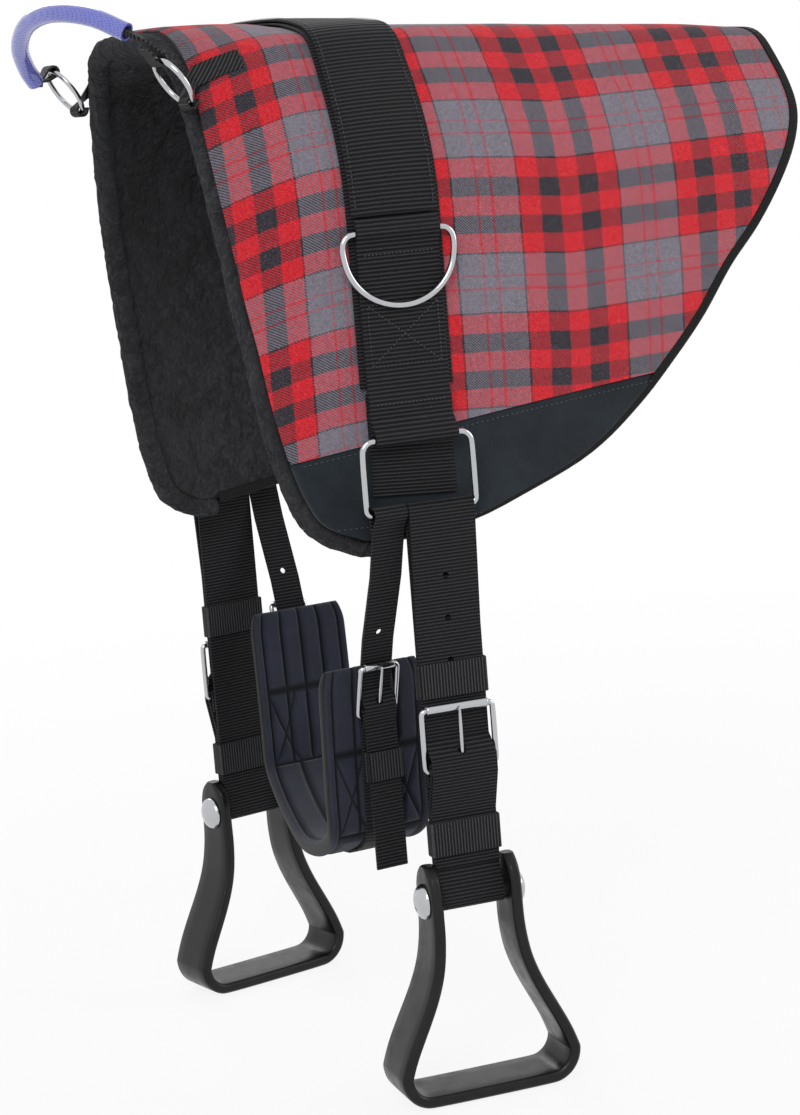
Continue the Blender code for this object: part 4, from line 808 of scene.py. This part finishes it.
def suede_top(row, column):
    point = cover_place(row, column, 0)
    sides = min(column / EDGE_TURN, (1 - column) / EDGE_TURN)
    near = min(sides, (1.006 - abs(row)) / 0.03, (abs(row) - SEAM_PLAIN) / 0.02, 1)
    swell = SUEDE_SWELL * smooth_step(near) - SUEDE_DIP * (1 - max(near, 0)) ** 2
    return cover_place(row, column, -swell - CLOTH_RIPPLE * ripple(point, 34, 7.7))


def make_suede():
    for label, sign in SIDES:
        rows = sorted(sign * row for row in even(SEAM_PLAIN - SUEDE_TUCK, 1, SUEDE_ROWS))
        bm = layer(rows, even(0, 1, COVER_COLUMNS), suede_top,
                   lambda r, c: cover_place(r, c, COVER_THICK + SUEDE_BACKING))
        panel = piece(f"suede_skirt_{label}", bm, "pad", "dark_suede", stands_for=(f"suede_panel_{label}",),
                      smooth=60)


def make_filling():
    top = COVER_THICK + FILLING_SET
    rows, columns = even(-1, 1, FILLING_ROWS), even(0, 1, FILLING_COLUMNS)
    bm = layer(rows, columns, lambda r, c: cover_place(r, c, top),
               lambda r, c: cover_place(r, c, top + FOAM_THICK - FILLING_TRIM))
    filling = piece("foam_filling", bm, "pad", "grey_foam", FINISH["dark_suede"], ("foam_core",), 60)


def pile_lift(point):
    """Curls of the pile, as a height over the lining."""
    curls = 0.55 * ripple(point, 95, 1.3) + 0.45 * ripple(point, 190, 5.9)
    return PILE_DEPTH * (curls + 0.5 * abs(ripple(point, 48, 9.2)))


def make_lining():
    top = COVER_THICK + FOAM_THICK

    def under(row, column):
        lift = pile_lift(cover_place(row, column, PAD_THICK))
        edge = min(column / 0.03, (1 - column) / 0.02, (1 - abs(row)) / 0.02, 1)
        return cover_place(row, column, PAD_THICK - LINING_SET + lift * edge - LINING_DIP * (1 - edge) ** 2)

    rows, columns = even(-1, 1, LINING_ROWS), even(0, 1, LINING_COLUMNS)
    bm = layer(rows, columns, lambda r, c: cover_place(r, c, top), under)
    lining = piece("fleece_underside", bm, "pad", "black_fleece", stands_for=("fleece_lining",), smooth=80)


# Edges of the pad
ROLL_END_STEPS, ROLL_FRONT_STEPS = 110, 260
ROLL_SET = 0.001
ROLL_SIDES = 20
ROLL_SKIP = 3
TAPE_STEPS, TAPE_TURNS = 200, 8
TAPE_ROOM = 0.0006
TAPE_SET = 0.001
TAPE_BULGE = 0.0032
TAPE_MAP_STEP = 0.001


def edge_frame(i, outline, depth):
    """On the pad's edge: the point at a depth, the direction out of the pad and the normal."""
    here, before, after = [cover_place(*outline[min(max(k, 0), len(outline) - 1)], depth)
                           for k in (i, i - 1, i + 1)]
    along = (after - before).normalized()
    normal = (cover_place(*outline[i], 0) - here).normalized()
    return here, along.cross(normal).normalized(), normal


def rings_along(points, radius_at, sides):
    """Rings across a path in space, whose radius may change from place to place."""
    rings = []
    for i, point in enumerate(points):
        along = (points[min(i + 1, len(points) - 1)] - points[max(i - 1, 0)]).normalized()
        across = Vector((0, 0, 1)).cross(along)
        across = across.normalized() if across.length > 0.1 else Vector((0, 1, 0)).cross(along).normalized()
        over = along.cross(across)
        ring = []
        for k in range(sides):
            turn = 2 * math.pi * k / sides
            ring.append(point + (across * math.cos(turn) + over * math.sin(turn)) * radius_at(i, k, point))
        rings.append(ring)
    return rings


def skinned(rings, hollow=False, web_map=False):
    """A closed skin over rings. Its ends are capped, or joined when the last rings run back inside."""
    bm = bmesh.new()
    uv = bm.loops.layers.uv.new("Web") if web_map else None
    made = [[bm.verts.new(p) for p in ring] for ring in rings]
    sides, run = len(rings[0]), 0.0
    for first, second in zip(made, made[1:] + (made[:1] if hollow else [])):
        step = (second[0].co - first[0].co).length
        for k in range(sides):
            j = (k + 1) % sides
            face = bm.faces.new((first[k], first[j], second[j], second[k]))
            if web_map:
                corners = ((k, run), (k + 1, run), (k + 1, run + step), (k, run + step))
                for loop, (side, along) in zip(face.loops, corners):
                    loop[uv].uv = (side * TAPE_MAP_STEP, along)
        run += step
    if not hollow:
        bm.faces.new(made[0])
        bm.faces.new(made[-1])
    bmesh.ops.recalc_face_normals(bm, faces=bm.faces[:])
    return bm


def make_roll():
    """The rolled fleece: forward along the left bottom edge, over the front and back along the right one."""
    outline = [(-1, share) for share in even(1, 0, ROLL_END_STEPS)]
    outline += [(row, 0) for row in even(-1, 1, ROLL_FRONT_STEPS)[1:-1]]
    outline += [(1, share) for share in even(0, 1, ROLL_END_STEPS)]
    points = []
    for i in range(len(outline)):
        here, out, _ = edge_frame(i, outline, ROLL_DEPTH - ROLL_SET)
        points.append(here - out * ROLL_RADIUS * 0.8)
    fine = smooth_path(points[::ROLL_SKIP], ROLL_SKIP)

    def radius(i, k, point):
        side = Vector((k * 0.7, i * 0.02, 0))
        bump = 0.55 * noise.noise(point * 110 + side) + 0.45 * noise.noise(point * 230 + side)
        return ROLL_RADIUS * (1.08 + 0.22 * bump)

    roll = piece("fleece_edge_roll", skinned(rings_along(fine, radius, ROLL_SIDES)), "pad", "black_fleece",
                 stands_for=("fleece_roll",), smooth=80)


def make_tape():
    """The tape folded round the rear edge: a bulge outside and a flat leg on each face of the pad."""
    outline = [(row, 1) for row in even(-1, 1, TAPE_STEPS)]
    half = PAD_THICK / 2 + TAPE_ROOM
    turns = [math.radians(angle) for angle in even(-90, 90, TAPE_TURNS)]
    bulge = [(TAPE_SET + math.cos(turn) * TAPE_BULGE, math.sin(turn) * half) for turn in turns]
    profile = [(-TAPE_WIDTH * 1.4, -half)] + bulge + [(-TAPE_WIDTH * 1.4, half)]
    profile += [(a - TAPE_THICK * 0.8, b * 0.92) for a, b in reversed(profile)]
    rings = []
    for i in range(len(outline)):
        here, out, normal = edge_frame(i, outline, PAD_THICK / 2)
        rings.append([here + out * a + normal * b for a, b in profile])
    piece("rear_edge_tape", skinned(rings, web_map=True), "pad", "black_tape", stands_for=("rear_binding",),
          smooth=50)


# Webs on the pad
WEB_EDGE_SHARES = (1, 0.985, 0.95)
WEB_ROWS_PER_SHARE = 110
SURCINGLE_OVER = 0.0016
BACKING_OVER = 0.0008
PATCH_OVER = 0.0006
SOFT_EDGE = 0.0006
THIN_EDGE = 0.0004


def web_top(lift, crown=0.0, half=1.0):
    """Places over the pad at a lift, which is higher by the crown along the web's middle."""
    def place(share, across):
        bow = crown * (1 - (across / half) ** 4)
        return pad_point(across + web_set(share), share, -lift - bow)

    return place


def over_back(drop):
    """The shares at which a web over the back ends, on the left and on the right."""
    return [share_at_height(sign, PAD_THICK - drop) for sign in (-1, 1)]


def web_band(name, node, width, lift, thick, span, surface):
    """A web laid over the pad between two shares, with soft edges."""
    half = width / 2
    edge = [half * share for share in WEB_EDGE_SHARES]
    columns = [-place for place in edge] + even(-half * 0.8, half * 0.8, 6) + edge[::-1]
    low, high = span
    rows = even(low, high, max(8, int(abs(high - low) * WEB_ROWS_PER_SHARE)))

    def web_map(share, across):
        return across, math.copysign(distance_down(web_set(share), share), share)

    top = web_top(lift + thick * 0.75, thick * 0.35, half)
    bm = layer(rows, columns, top, web_top(lift), {"Web": web_map})
    piece(name, bm, "pad", "black_webbing", surface, (node,), 50)


def make_webs():
    web_band("surcingle_top_web", "surcingle_web", SURCINGLE_WIDTH, WEB_FACE + SURCINGLE_OVER,
             SURCINGLE_THICK, over_back(SURCINGLE_END_DROP), FINISH["black_webbing"])
    web_band("surcingle_under_web", "surcingle_backing", BACKING_WIDTH, WEB_GAP + BACKING_OVER,
             BACKING_THICK, over_back(BACKING_END_DROP), STRAP_FINISH)
    for label, sign in SIDES:
        drops = (PATCH_START_DROP, PATCH_END_DROP)
        span = sorted(share_at_height(sign, PAD_THICK - drop) for drop in drops)
        web_band(f"dee_patch_web_{label}", f"dee_patch_{label}", PATCH_WIDTH, WEB_GAP + PATCH_OVER,
                 BACKING_THICK, span, STRAP_FINISH)


# Pieces that take a node's own shape
JOIN_ANGLE = math.radians(50)
FLAT_ANGLE = math.radians(3)
DOUBLES = 0.00001
WIRE_LEVELS = 2


def shape_of(node):
    """A node's mesh with its doubles merged."""
    bm = bmesh.new()
    bm.from_mesh(NODES[node].data)
    bm.transform(NODES[node].matrix_world)
    bmesh.ops.remove_doubles(bm, verts=bm.verts[:], dist=DOUBLES)
    bmesh.ops.recalc_face_normals(bm, faces=bm.faces[:])
    return bm


def rounded(node, name, body, slot, swell=0.0, crease=None):
    """A wire or moulding of the frame, smoothed, with its thickness kept by a swell."""
    bm = shape_of(node)
    bmesh.ops.join_triangles(bm, faces=bm.faces[:], angle_face_threshold=JOIN_ANGLE,
                             angle_shape_threshold=JOIN_ANGLE, cmp_seam=False, cmp_sharp=False,
                             cmp_uvs=False, cmp_vcols=False, cmp_materials=False)
    bm.normal_update()
    for vert in bm.verts:
        vert.co += vert.normal * swell
    if crease:
        angle, hold = crease
        held = bm.edges.layers.float.new("crease_edge")
        for edge in bm.edges:
            if len(edge.link_faces) == 2 and edge.calc_face_angle() > math.radians(angle):
                edge[held] = hold
    piece(name, bm, body, slot, stands_for=(node,), levels=WIRE_LEVELS)


def strapping(node, name, body, values, surface, edge=SOFT_EDGE):
    """A web of the frame with soft edges and a rib that follows it."""
    bm = shape_of(node)
    bmesh.ops.dissolve_limit(bm, angle_limit=FLAT_ANGLE, verts=bm.verts[:], edges=bm.edges[:])
    uv = bm.loops.layers.uv.new("Web")
    for face in bm.faces:
        for loop in face.loops:
            loop[uv].uv = values(loop.vert.co)
    piece(name, bm, body, "black_webbing", surface, (node,), 32, bevel=edge)


def strap_map(sign, turned=False):
    """Web values for a strap that hangs on one side: across the flap and down it, or the other way round."""
    place, turn = side_place(sign)
    way = Matrix.Rotation(-turn, 3, "Z")

    def values(point):
        local = way @ (point - place)
        return (point.z, local.x + local.y) if turned else (local.x, point.z)

    return values


def make_straps():
    for label, sign in SIDES:
        down, around = strap_map(sign), strap_map(sign, True)
        webs = (
            ("side_web_{}", "side_web_looped_{}", "pad", down, FINISH["black_webbing"], SOFT_EDGE),
            ("stirrup_strap_{}", "stirrup_leather_web_{}", "strap_{}", down, STRAP_FINISH, SOFT_EDGE),
            ("strap_keeper_upper_{}", "keeper_loop_upper_{}", "upper_keeper_{}", around, KEEPER_FINISH,
             SOFT_EDGE),
            ("strap_keeper_lower_{}", "keeper_loop_lower_{}", "lower_keeper_{}", around, KEEPER_FINISH,
             SOFT_EDGE),
            ("girth_billet_{}", "girth_billet_web_{}", "billet_{}", lambda p: (p.x, p.z), STRAP_FINISH,
             SOFT_EDGE),
            ("girth_keeper_{}", "girth_keeper_loop_{}", "girth_keeper_{}", lambda p: (p.z, p.x + p.y),
             KEEPER_FINISH, THIN_EDGE),
            ("handle_tab_{}", "handle_tab_web_{}", "pad", lambda p: (p.y, p.x * 0.8 - p.z * 0.6),
             HANDLE_FINISH, THIN_EDGE),
        )
        for node, name, body, values, surface, edge in webs:
            strapping(node.format(label), name.format(label), body.format(label), values, surface, edge)


# Girth
GIRTH_LINE_STEPS = 18
GIRTH_MAP_STEPS = 2
GIRTH_COLUMNS = 80
GIRTH_BORDER = 0.15
GIRTH_END = 0.035
GIRTH_WEB_SHARE = 0.32
GIRTH_WEB_EDGE = 0.0005
LANES_MIDDLE, LANES_ENDS = 3, 4
LANE_SOFT = 0.20
CROSS_ROWS = (0.135, 0.30, 0.70, 0.865)
CROSS_SOFT = 0.018
SLANT_FROM, SLANT_TO = 0.25, 0.85
SLANT_SOFT = 0.12
SLANT_PUFF = 0.56


def girth_line(steps):
    return smooth_path(mirrored(girth_half_path()), steps)


def girth_along(line):
    """Web values from the nearest place on the girth's own line."""
    runs = runs_along(line)

    def values(point):
        flat = Vector((point.y - GIRTH_MIDDLE_Y, point.z))
        i = min(range(len(line)), key=lambda k: (line[k] - flat).length)
        step = line[min(i + 1, len(line) - 1)] - line[i]
        part = step.dot(flat - line[i]) / max(step.length_squared, 1e-9)
        return point.x, runs[i] + step.length * part

    return values


def raised(distance, width, floor=SEAM_PUFF):
    """The puff at a distance from a seam, which holds it down to a floor."""
    return floor + (1 - floor) * smooth_step(distance / width)


def girth_puff(along, across):
    """The pad's half thickness as a share: sewn channels along it, cross seams and a rolled border."""
    edge = 1 - abs(across)
    if edge < GIRTH_BORDER:
        return SEAM_PUFF + (1 - SEAM_PUFF) * math.sqrt(max(0.0, 1 - (2 * edge / GIRTH_BORDER - 1) ** 2))
    lanes = LANES_MIDDLE if CROSS_ROWS[1] < along < CROSS_ROWS[2] else LANES_ENDS
    place = (across / (1 - GIRTH_BORDER) + 1) / 2 * lanes
    puff = raised(abs(place - round(place)), LANE_SOFT)
    for row in CROSS_ROWS:
        puff = min(puff, raised(abs(along - row), CROSS_SOFT))
    for low, high in (CROSS_ROWS[:2], CROSS_ROWS[2:]):
        if low < along < high and SLANT_FROM < abs(across) < SLANT_TO:
            u = (along - low) / (high - low)
            w = (abs(across) - SLANT_FROM) / (SLANT_TO - SLANT_FROM)
            puff = min(puff, raised(min(abs(u - w), abs(u + w - 1)), SLANT_SOFT, SLANT_PUFF))
    return puff


def make_girth_pad():
    line = girth_line(GIRTH_LINE_STEPS)
    sides = normals_of(line)
    last = len(line) - 1
    columns = even(-1, 1, GIRTH_COLUMNS)
    inner, outer, puffs = [], [], {}
    bm = bmesh.new()
    for i, (point, side) in enumerate(zip(line, sides)):
        along = i / last
        end = min(along, 1 - along) / GIRTH_END
        half = GIRTH_THICK / 2 * (0.25 + 0.75 * math.sqrt(1 - (1 - min(end, 1)) ** 2))
        corner = 1 - 0.10 * (1 - min(end / 1.2, 1)) ** 2
        first, second = [], []
        for across in columns:
            x = skew(GIRTH_MIDDLE_Y + point.x) + across * GIRTH_WIDTH / 2 * corner
            puff = girth_puff(along, across)
            rise_in = half * puff * 1.12
            rise_out = half * (0.9 if abs(across) < GIRTH_WEB_SHARE else puff)
            for face, rise, store in ((1, rise_in, first), (-1, rise_out, second)):
                y = GIRTH_MIDDLE_Y + point.x + side.x * face * rise
                store.append(bm.verts.new((x, y, point.y + side.y * face * rise)))
                puffs[store[-1]] = puff
        inner.append(first)
        outer.append(second)
    for i in range(last):
        for k in range(GIRTH_COLUMNS):
            bm.faces.new((inner[i][k], inner[i][k + 1], inner[i + 1][k + 1], inner[i + 1][k]))
            bm.faces.new((outer[i][k + 1], outer[i][k], outer[i + 1][k], outer[i + 1][k + 1]))
        bm.faces.new((outer[i][0], inner[i][0], inner[i + 1][0], outer[i + 1][0]))
        bm.faces.new((inner[i][-1], outer[i][-1], outer[i + 1][-1], inner[i + 1][-1]))
    for i in (0, last):
        for k in range(GIRTH_COLUMNS):
            bm.faces.new((inner[i][k + 1], inner[i][k], outer[i][k], outer[i][k + 1]))
    bmesh.ops.recalc_face_normals(bm, faces=bm.faces[:])
    # The Puff map carries the puff to the finish, which paints the seams dark, partly as thread and partly
    # as painted shade in the grooves.
    uv = bm.loops.layers.uv.new("Puff")
    for face in bm.faces:
        for loop in face.loops:
            loop[uv].uv = (puffs[loop.vert], 0.0)
    pad = piece("girth_quilted_pad", bm, "girth", "navy_quilting", stands_for=("girth_pad",), smooth=70)
    strapping("girth_web", "girth_outer_web", "girth", girth_along(girth_line(GIRTH_MAP_STEPS)),
              STRAP_FINISH, GIRTH_WEB_EDGE)


# Handle
GRIP_SIDES = 28
HANDLE_WEB_EDGE = 0.0003


def make_handle():
    line = smooth_path(grip_line(), GRIP_STEPS)
    outer = rings_along(line, lambda i, k, point: GRIP_RADIUS, GRIP_SIDES)
    inner = rings_along(line, lambda i, k, point: GRIP_RADIUS - GRIP_WALL, GRIP_SIDES)
    piece("handle_grip_tube", skinned(outer + inner[::-1], hollow=True), "handle", "blue_tubing",
          stands_for=("handle_grip",), smooth=60)
    strapping("handle_web", "handle_inner_web", "handle", lambda p: (p.x - p.z, p.y), HANDLE_FINISH,
              HANDLE_WEB_EDGE)


# Hardware: the node, its body and how far the smoothed wire is swollen to keep its thickness
WIRES = (("upper_dee", "upper_dee_{}", 0.00022), ("lower_dee", "lower_dee_{}", 0.00022),
         ("strap_buckle_frame", "strap_{}", 0.0002), ("strap_buckle_tongue", "strap_tongue_{}", 0.00015),
         ("girth_buckle_frame", "billet_{}", 0.00018), ("girth_buckle_tongue", "girth_tongue_{}", 0.00013),
         ("handle_ring", "handle_ring_{}", 0.00018))
TURNED = (("strap_buckle_roller", "strap_roller_{}"), ("girth_buckle_roller", "girth_roller_{}"),
          ("stirrup_bolt", "stirrup_{}"), ("stirrup_nut", "stirrup_{}"), ("stirrup_sleeve", "stirrup_{}"))
TURNED_SWELL = 0.0001
TURNED_CREASE = (32, 0.8)
STIRRUP_CREASE = (30, 0.55)


def make_hardware():
    for label, _ in SIDES:
        for node, body, swell in WIRES:
            rounded(f"{node}_{label}", f"{node}_plated_{label}", body.format(label), "nickel_plate", swell)
        for node, body in TURNED:
            rounded(f"{node}_{label}", f"{node}_plated_{label}", body.format(label), "nickel_plate",
                    TURNED_SWELL, TURNED_CREASE)
        rounded(f"stirrup_{label}", f"stirrup_iron_{label}", f"stirrup_{label}", "black_nylon",
                crease=STIRRUP_CREASE)


# Stitching
HEM_RADIUS, HEM_PITCH = 0.00042, 0.0042
WEB_RADIUS, WEB_PITCH = 0.0005, 0.003
EDGE_RADIUS, EDGE_PITCH = 0.0004, 0.0036
STITCH_SHARE = 0.68
HEM_STEPS, EDGE_STEPS = 150, 90
HEM_ROW = 0.972
SEAM_ROW_STEP = 0.012
WEB_STITCH_INSET = 0.005
EDGE_STITCH_INSET = 0.003
BOX_CLEAR = 0.052
LOWER_ROW_RISE = 0.0245
UPPER_ROW_FALL = 0.016
STITCH_LIFT = 0.0001
NORMAL_REACH = 0.004


def stitches(name, points, normals, surface, radius, pitch):
    """A row of thread on the pad along points: each stitch a short bead, half sunk in the cloth."""
    bm = bmesh.new()
    run, target = 0.0, pitch / 2
    for a, b, normal in zip(points, points[1:], normals):
        step = (b - a).length
        while step and target <= run + step:
            along = (b - a).normalized()
            side = normal.cross(along).normalized()
            bead = Matrix((side, along, normal)).transposed().to_4x4()
            bead.translation = a.lerp(b, (target - run) / step) + normal * radius * 0.5
            size = Matrix.Diagonal((radius, pitch * STITCH_SHARE / 2, radius * 0.9, 1))
            bmesh.ops.create_icosphere(bm, subdivisions=1, radius=1, matrix=bead @ size)
            target += pitch
        run += step
    piece(name, bm, "pad", "black_webbing", surface, smooth=80)


def suede_stitches(name, row, label):
    columns = even(0.03, 0.985, HEM_STEPS)
    normals = [(cover_place(row, c, 0) - cover_place(row, c, NORMAL_REACH)).normalized() for c in columns]
    stitches(f"suede_{name}_stitches_{label}", [suede_top(row, c) for c in columns], normals, GREY_THREAD,
             HEM_RADIUS, HEM_PITCH)


def side_web_stitches(label, sign):
    """The crossed box on a side web, and a row under each dee's bar."""
    place, turn = side_place(sign)
    way = Matrix.Rotation(turn, 3, "Z")
    out = way @ Vector((0, 1, 0))
    face = WEB_LINE + SURCINGLE_THICK / 2 + STITCH_LIFT
    tail = face + SURCINGLE_THICK + GAP
    half = SURCINGLE_WIDTH / 2 - WEB_STITCH_INSET
    top, low = UPPER_BAR_Z - BOX_CLEAR, LOWER_BAR_Z + BOX_CLEAR
    lower_row, upper_row = LOWER_BAR_Z + LOWER_ROW_RISE, UPPER_BAR_Z - UPPER_ROW_FALL
    rows = (
        ("box_0", face, ((-half, top), (half, top), (half, low), (-half, low), (-half, top))),
        ("box_1", face, ((-half, top), (half, low))),
        ("box_2", face, ((-half, low), (half, top))),
        ("row_0", tail, ((-half, lower_row), (half, lower_row))),
        ("row_1", face, ((-half, upper_row), (half, upper_row))),
    )
    for name, depth, flat in rows:
        points = [place + way @ Vector((x, depth, 0)) + Vector((0, 0, z)) for x, z in flat]
        stitches(f"side_web_{name}_{label}", points, [out] * len(points), DARK_THREAD, WEB_RADIUS, WEB_PITCH)


def make_stitching():
    for label, sign in SIDES:
        suede_stitches("seam", sign * (SEAM_PLAIN + SEAM_ROW_STEP), label)
        suede_stitches("hem", sign * HEM_ROW, label)
        side_web_stitches(label, sign)
    edge = SURCINGLE_WIDTH / 2 - EDGE_STITCH_INSET
    top = web_top(WEB_FACE + SURCINGLE_OVER + SURCINGLE_THICK)
    low, high = over_back(SURCINGLE_END_DROP)
    shares = even(low * 0.98, high * 0.98, EDGE_STEPS)
    for k, across in enumerate((-edge, edge)):
        points = [top(share, across) for share in shares]
        normals = [pad_normal(web_set(share) + across, share) for share in shares]
        stitches(f"surcingle_edge_stitches_{k}", points, normals, DARK_THREAD, EDGE_RADIUS, EDGE_PITCH)


# Camera, light and ground
CAMERA_PLACE = (-0.927, -1.917, -0.0214)
CAMERA_WAY = Vector((0.4545, 0.8741, -0.1715))
CAMERA_ROLL = math.radians(-4.6)
FOCAL_PIXELS = 2750
FRAME_PIXELS = 1115
SENSOR = 36
LAMPS = (("key_light", (-1.8, -2.4, 1.9), 1.6, 46), ("side_light", (2.4, -1.4, 0.6), 1.4, 18),
         ("back_light", (0.4, 2.6, 1.6), 1.6, 26))
LAMP_TARGET = Vector((0.05, 0, -0.3))
SKY = (0.44, 0.45, 0.46, 1)
WHITE = (1, 1, 1, 1)
FLOOR_HALF = 20
FLOOR_FALL = 0.001
FLOOR_SHADE_FROM = 0.95
FLOOR_SHADE_TO = 2.1


def make_camera():
    forward = CAMERA_WAY.normalized()
    side = forward.cross(Vector((0, 0, 1))).normalized()
    up = side.cross(forward)
    right = side * math.cos(CAMERA_ROLL) + up * math.sin(CAMERA_ROLL)
    top = up * math.cos(CAMERA_ROLL) - side * math.sin(CAMERA_ROLL)
    data = bpy.data.cameras.new("camera")
    data.lens = FOCAL_PIXELS / FRAME_PIXELS * SENSOR
    data.sensor_width = SENSOR
    data.clip_end = 50
    camera = bpy.data.objects.new("camera", data)
    bpy.context.scene.collection.objects.link(camera)
    place = Matrix((right, top, -forward)).transposed().to_4x4()
    place.translation = CAMERA_PLACE
    camera.matrix_world = place
    bpy.context.scene.camera = camera


def seen_white(tree):
    """1 for the rays that should see plain white."""
    ray = add(tree, "LightPath")
    seen = maths(tree, "MAXIMUM", ray.outputs["Is Camera Ray"], ray.outputs["Is Glossy Ray"])
    return maths(tree, "MAXIMUM", seen, ray.outputs["Is Transmission Ray"])


def make_light():
    scene = bpy.context.scene
    world = bpy.data.worlds.new("studio")
    scene.world = world
    world.use_nodes = True
    tree = world.node_tree
    back = tree.nodes["Background"]
    tree.links.new(mixed(tree, seen_white(tree), SKY, WHITE), back.inputs["Color"])
    back.inputs["Strength"].default_value = 1.0
    for name, place, size, power in LAMPS:
        data = bpy.data.lights.new(name, "AREA")
        data.size, data.energy = size, power
        lamp = bpy.data.objects.new(name, data)
        scene.collection.objects.link(lamp)
        lamp.location = place
        lamp.rotation_euler = (LAMP_TARGET - Vector(place)).to_track_quat("-Z", "Y").to_euler()
    scene.view_settings.view_transform = "Standard"


def make_floor():
    bm = bmesh.new()
    bmesh.ops.create_grid(bm, x_segments=1, y_segments=1, size=FLOOR_HALF)
    bmesh.ops.translate(bm, verts=bm.verts[:], vec=(0, 0, CAD_BOX[0][2] - FLOOR_FALL))
    mesh = bpy.data.meshes.new("floor")
    bm.to_mesh(mesh)
    bm.free()
    made, tree, shader = finish("floor_white", 0.9)
    shader.inputs["Base Color"].default_value = (0.9, 0.9, 0.9, 1)
    glow = add(tree, "Emission", {"Color": WHITE, "Strength": 1.0})
    away = add(tree, "VectorMath", {0: object_place(tree)}, operation="LENGTH").outputs["Value"]
    plain = ranged(tree, away, FLOOR_SHADE_FROM, FLOOR_SHADE_TO, 0.88, 1.0)
    share = times(tree, seen_white(tree), plain)
    blend = add(tree, "MixShader", {0: share, 1: shader.outputs[0], 2: glow.outputs[0]})
    tree.links.new(blend.outputs[0], tree.nodes["Material Output"].inputs["Surface"])
    mesh.materials.append(made)
    floor = bpy.data.objects.new("floor", mesh)
    bpy.context.scene.collection.objects.link(floor)


make_camera()
make_cover()
make_suede()
make_filling()
make_lining()
make_roll()
make_tape()
make_webs()
make_straps()
make_girth_pad()
make_handle()
make_hardware()
make_stitching()
make_light()
make_floor()
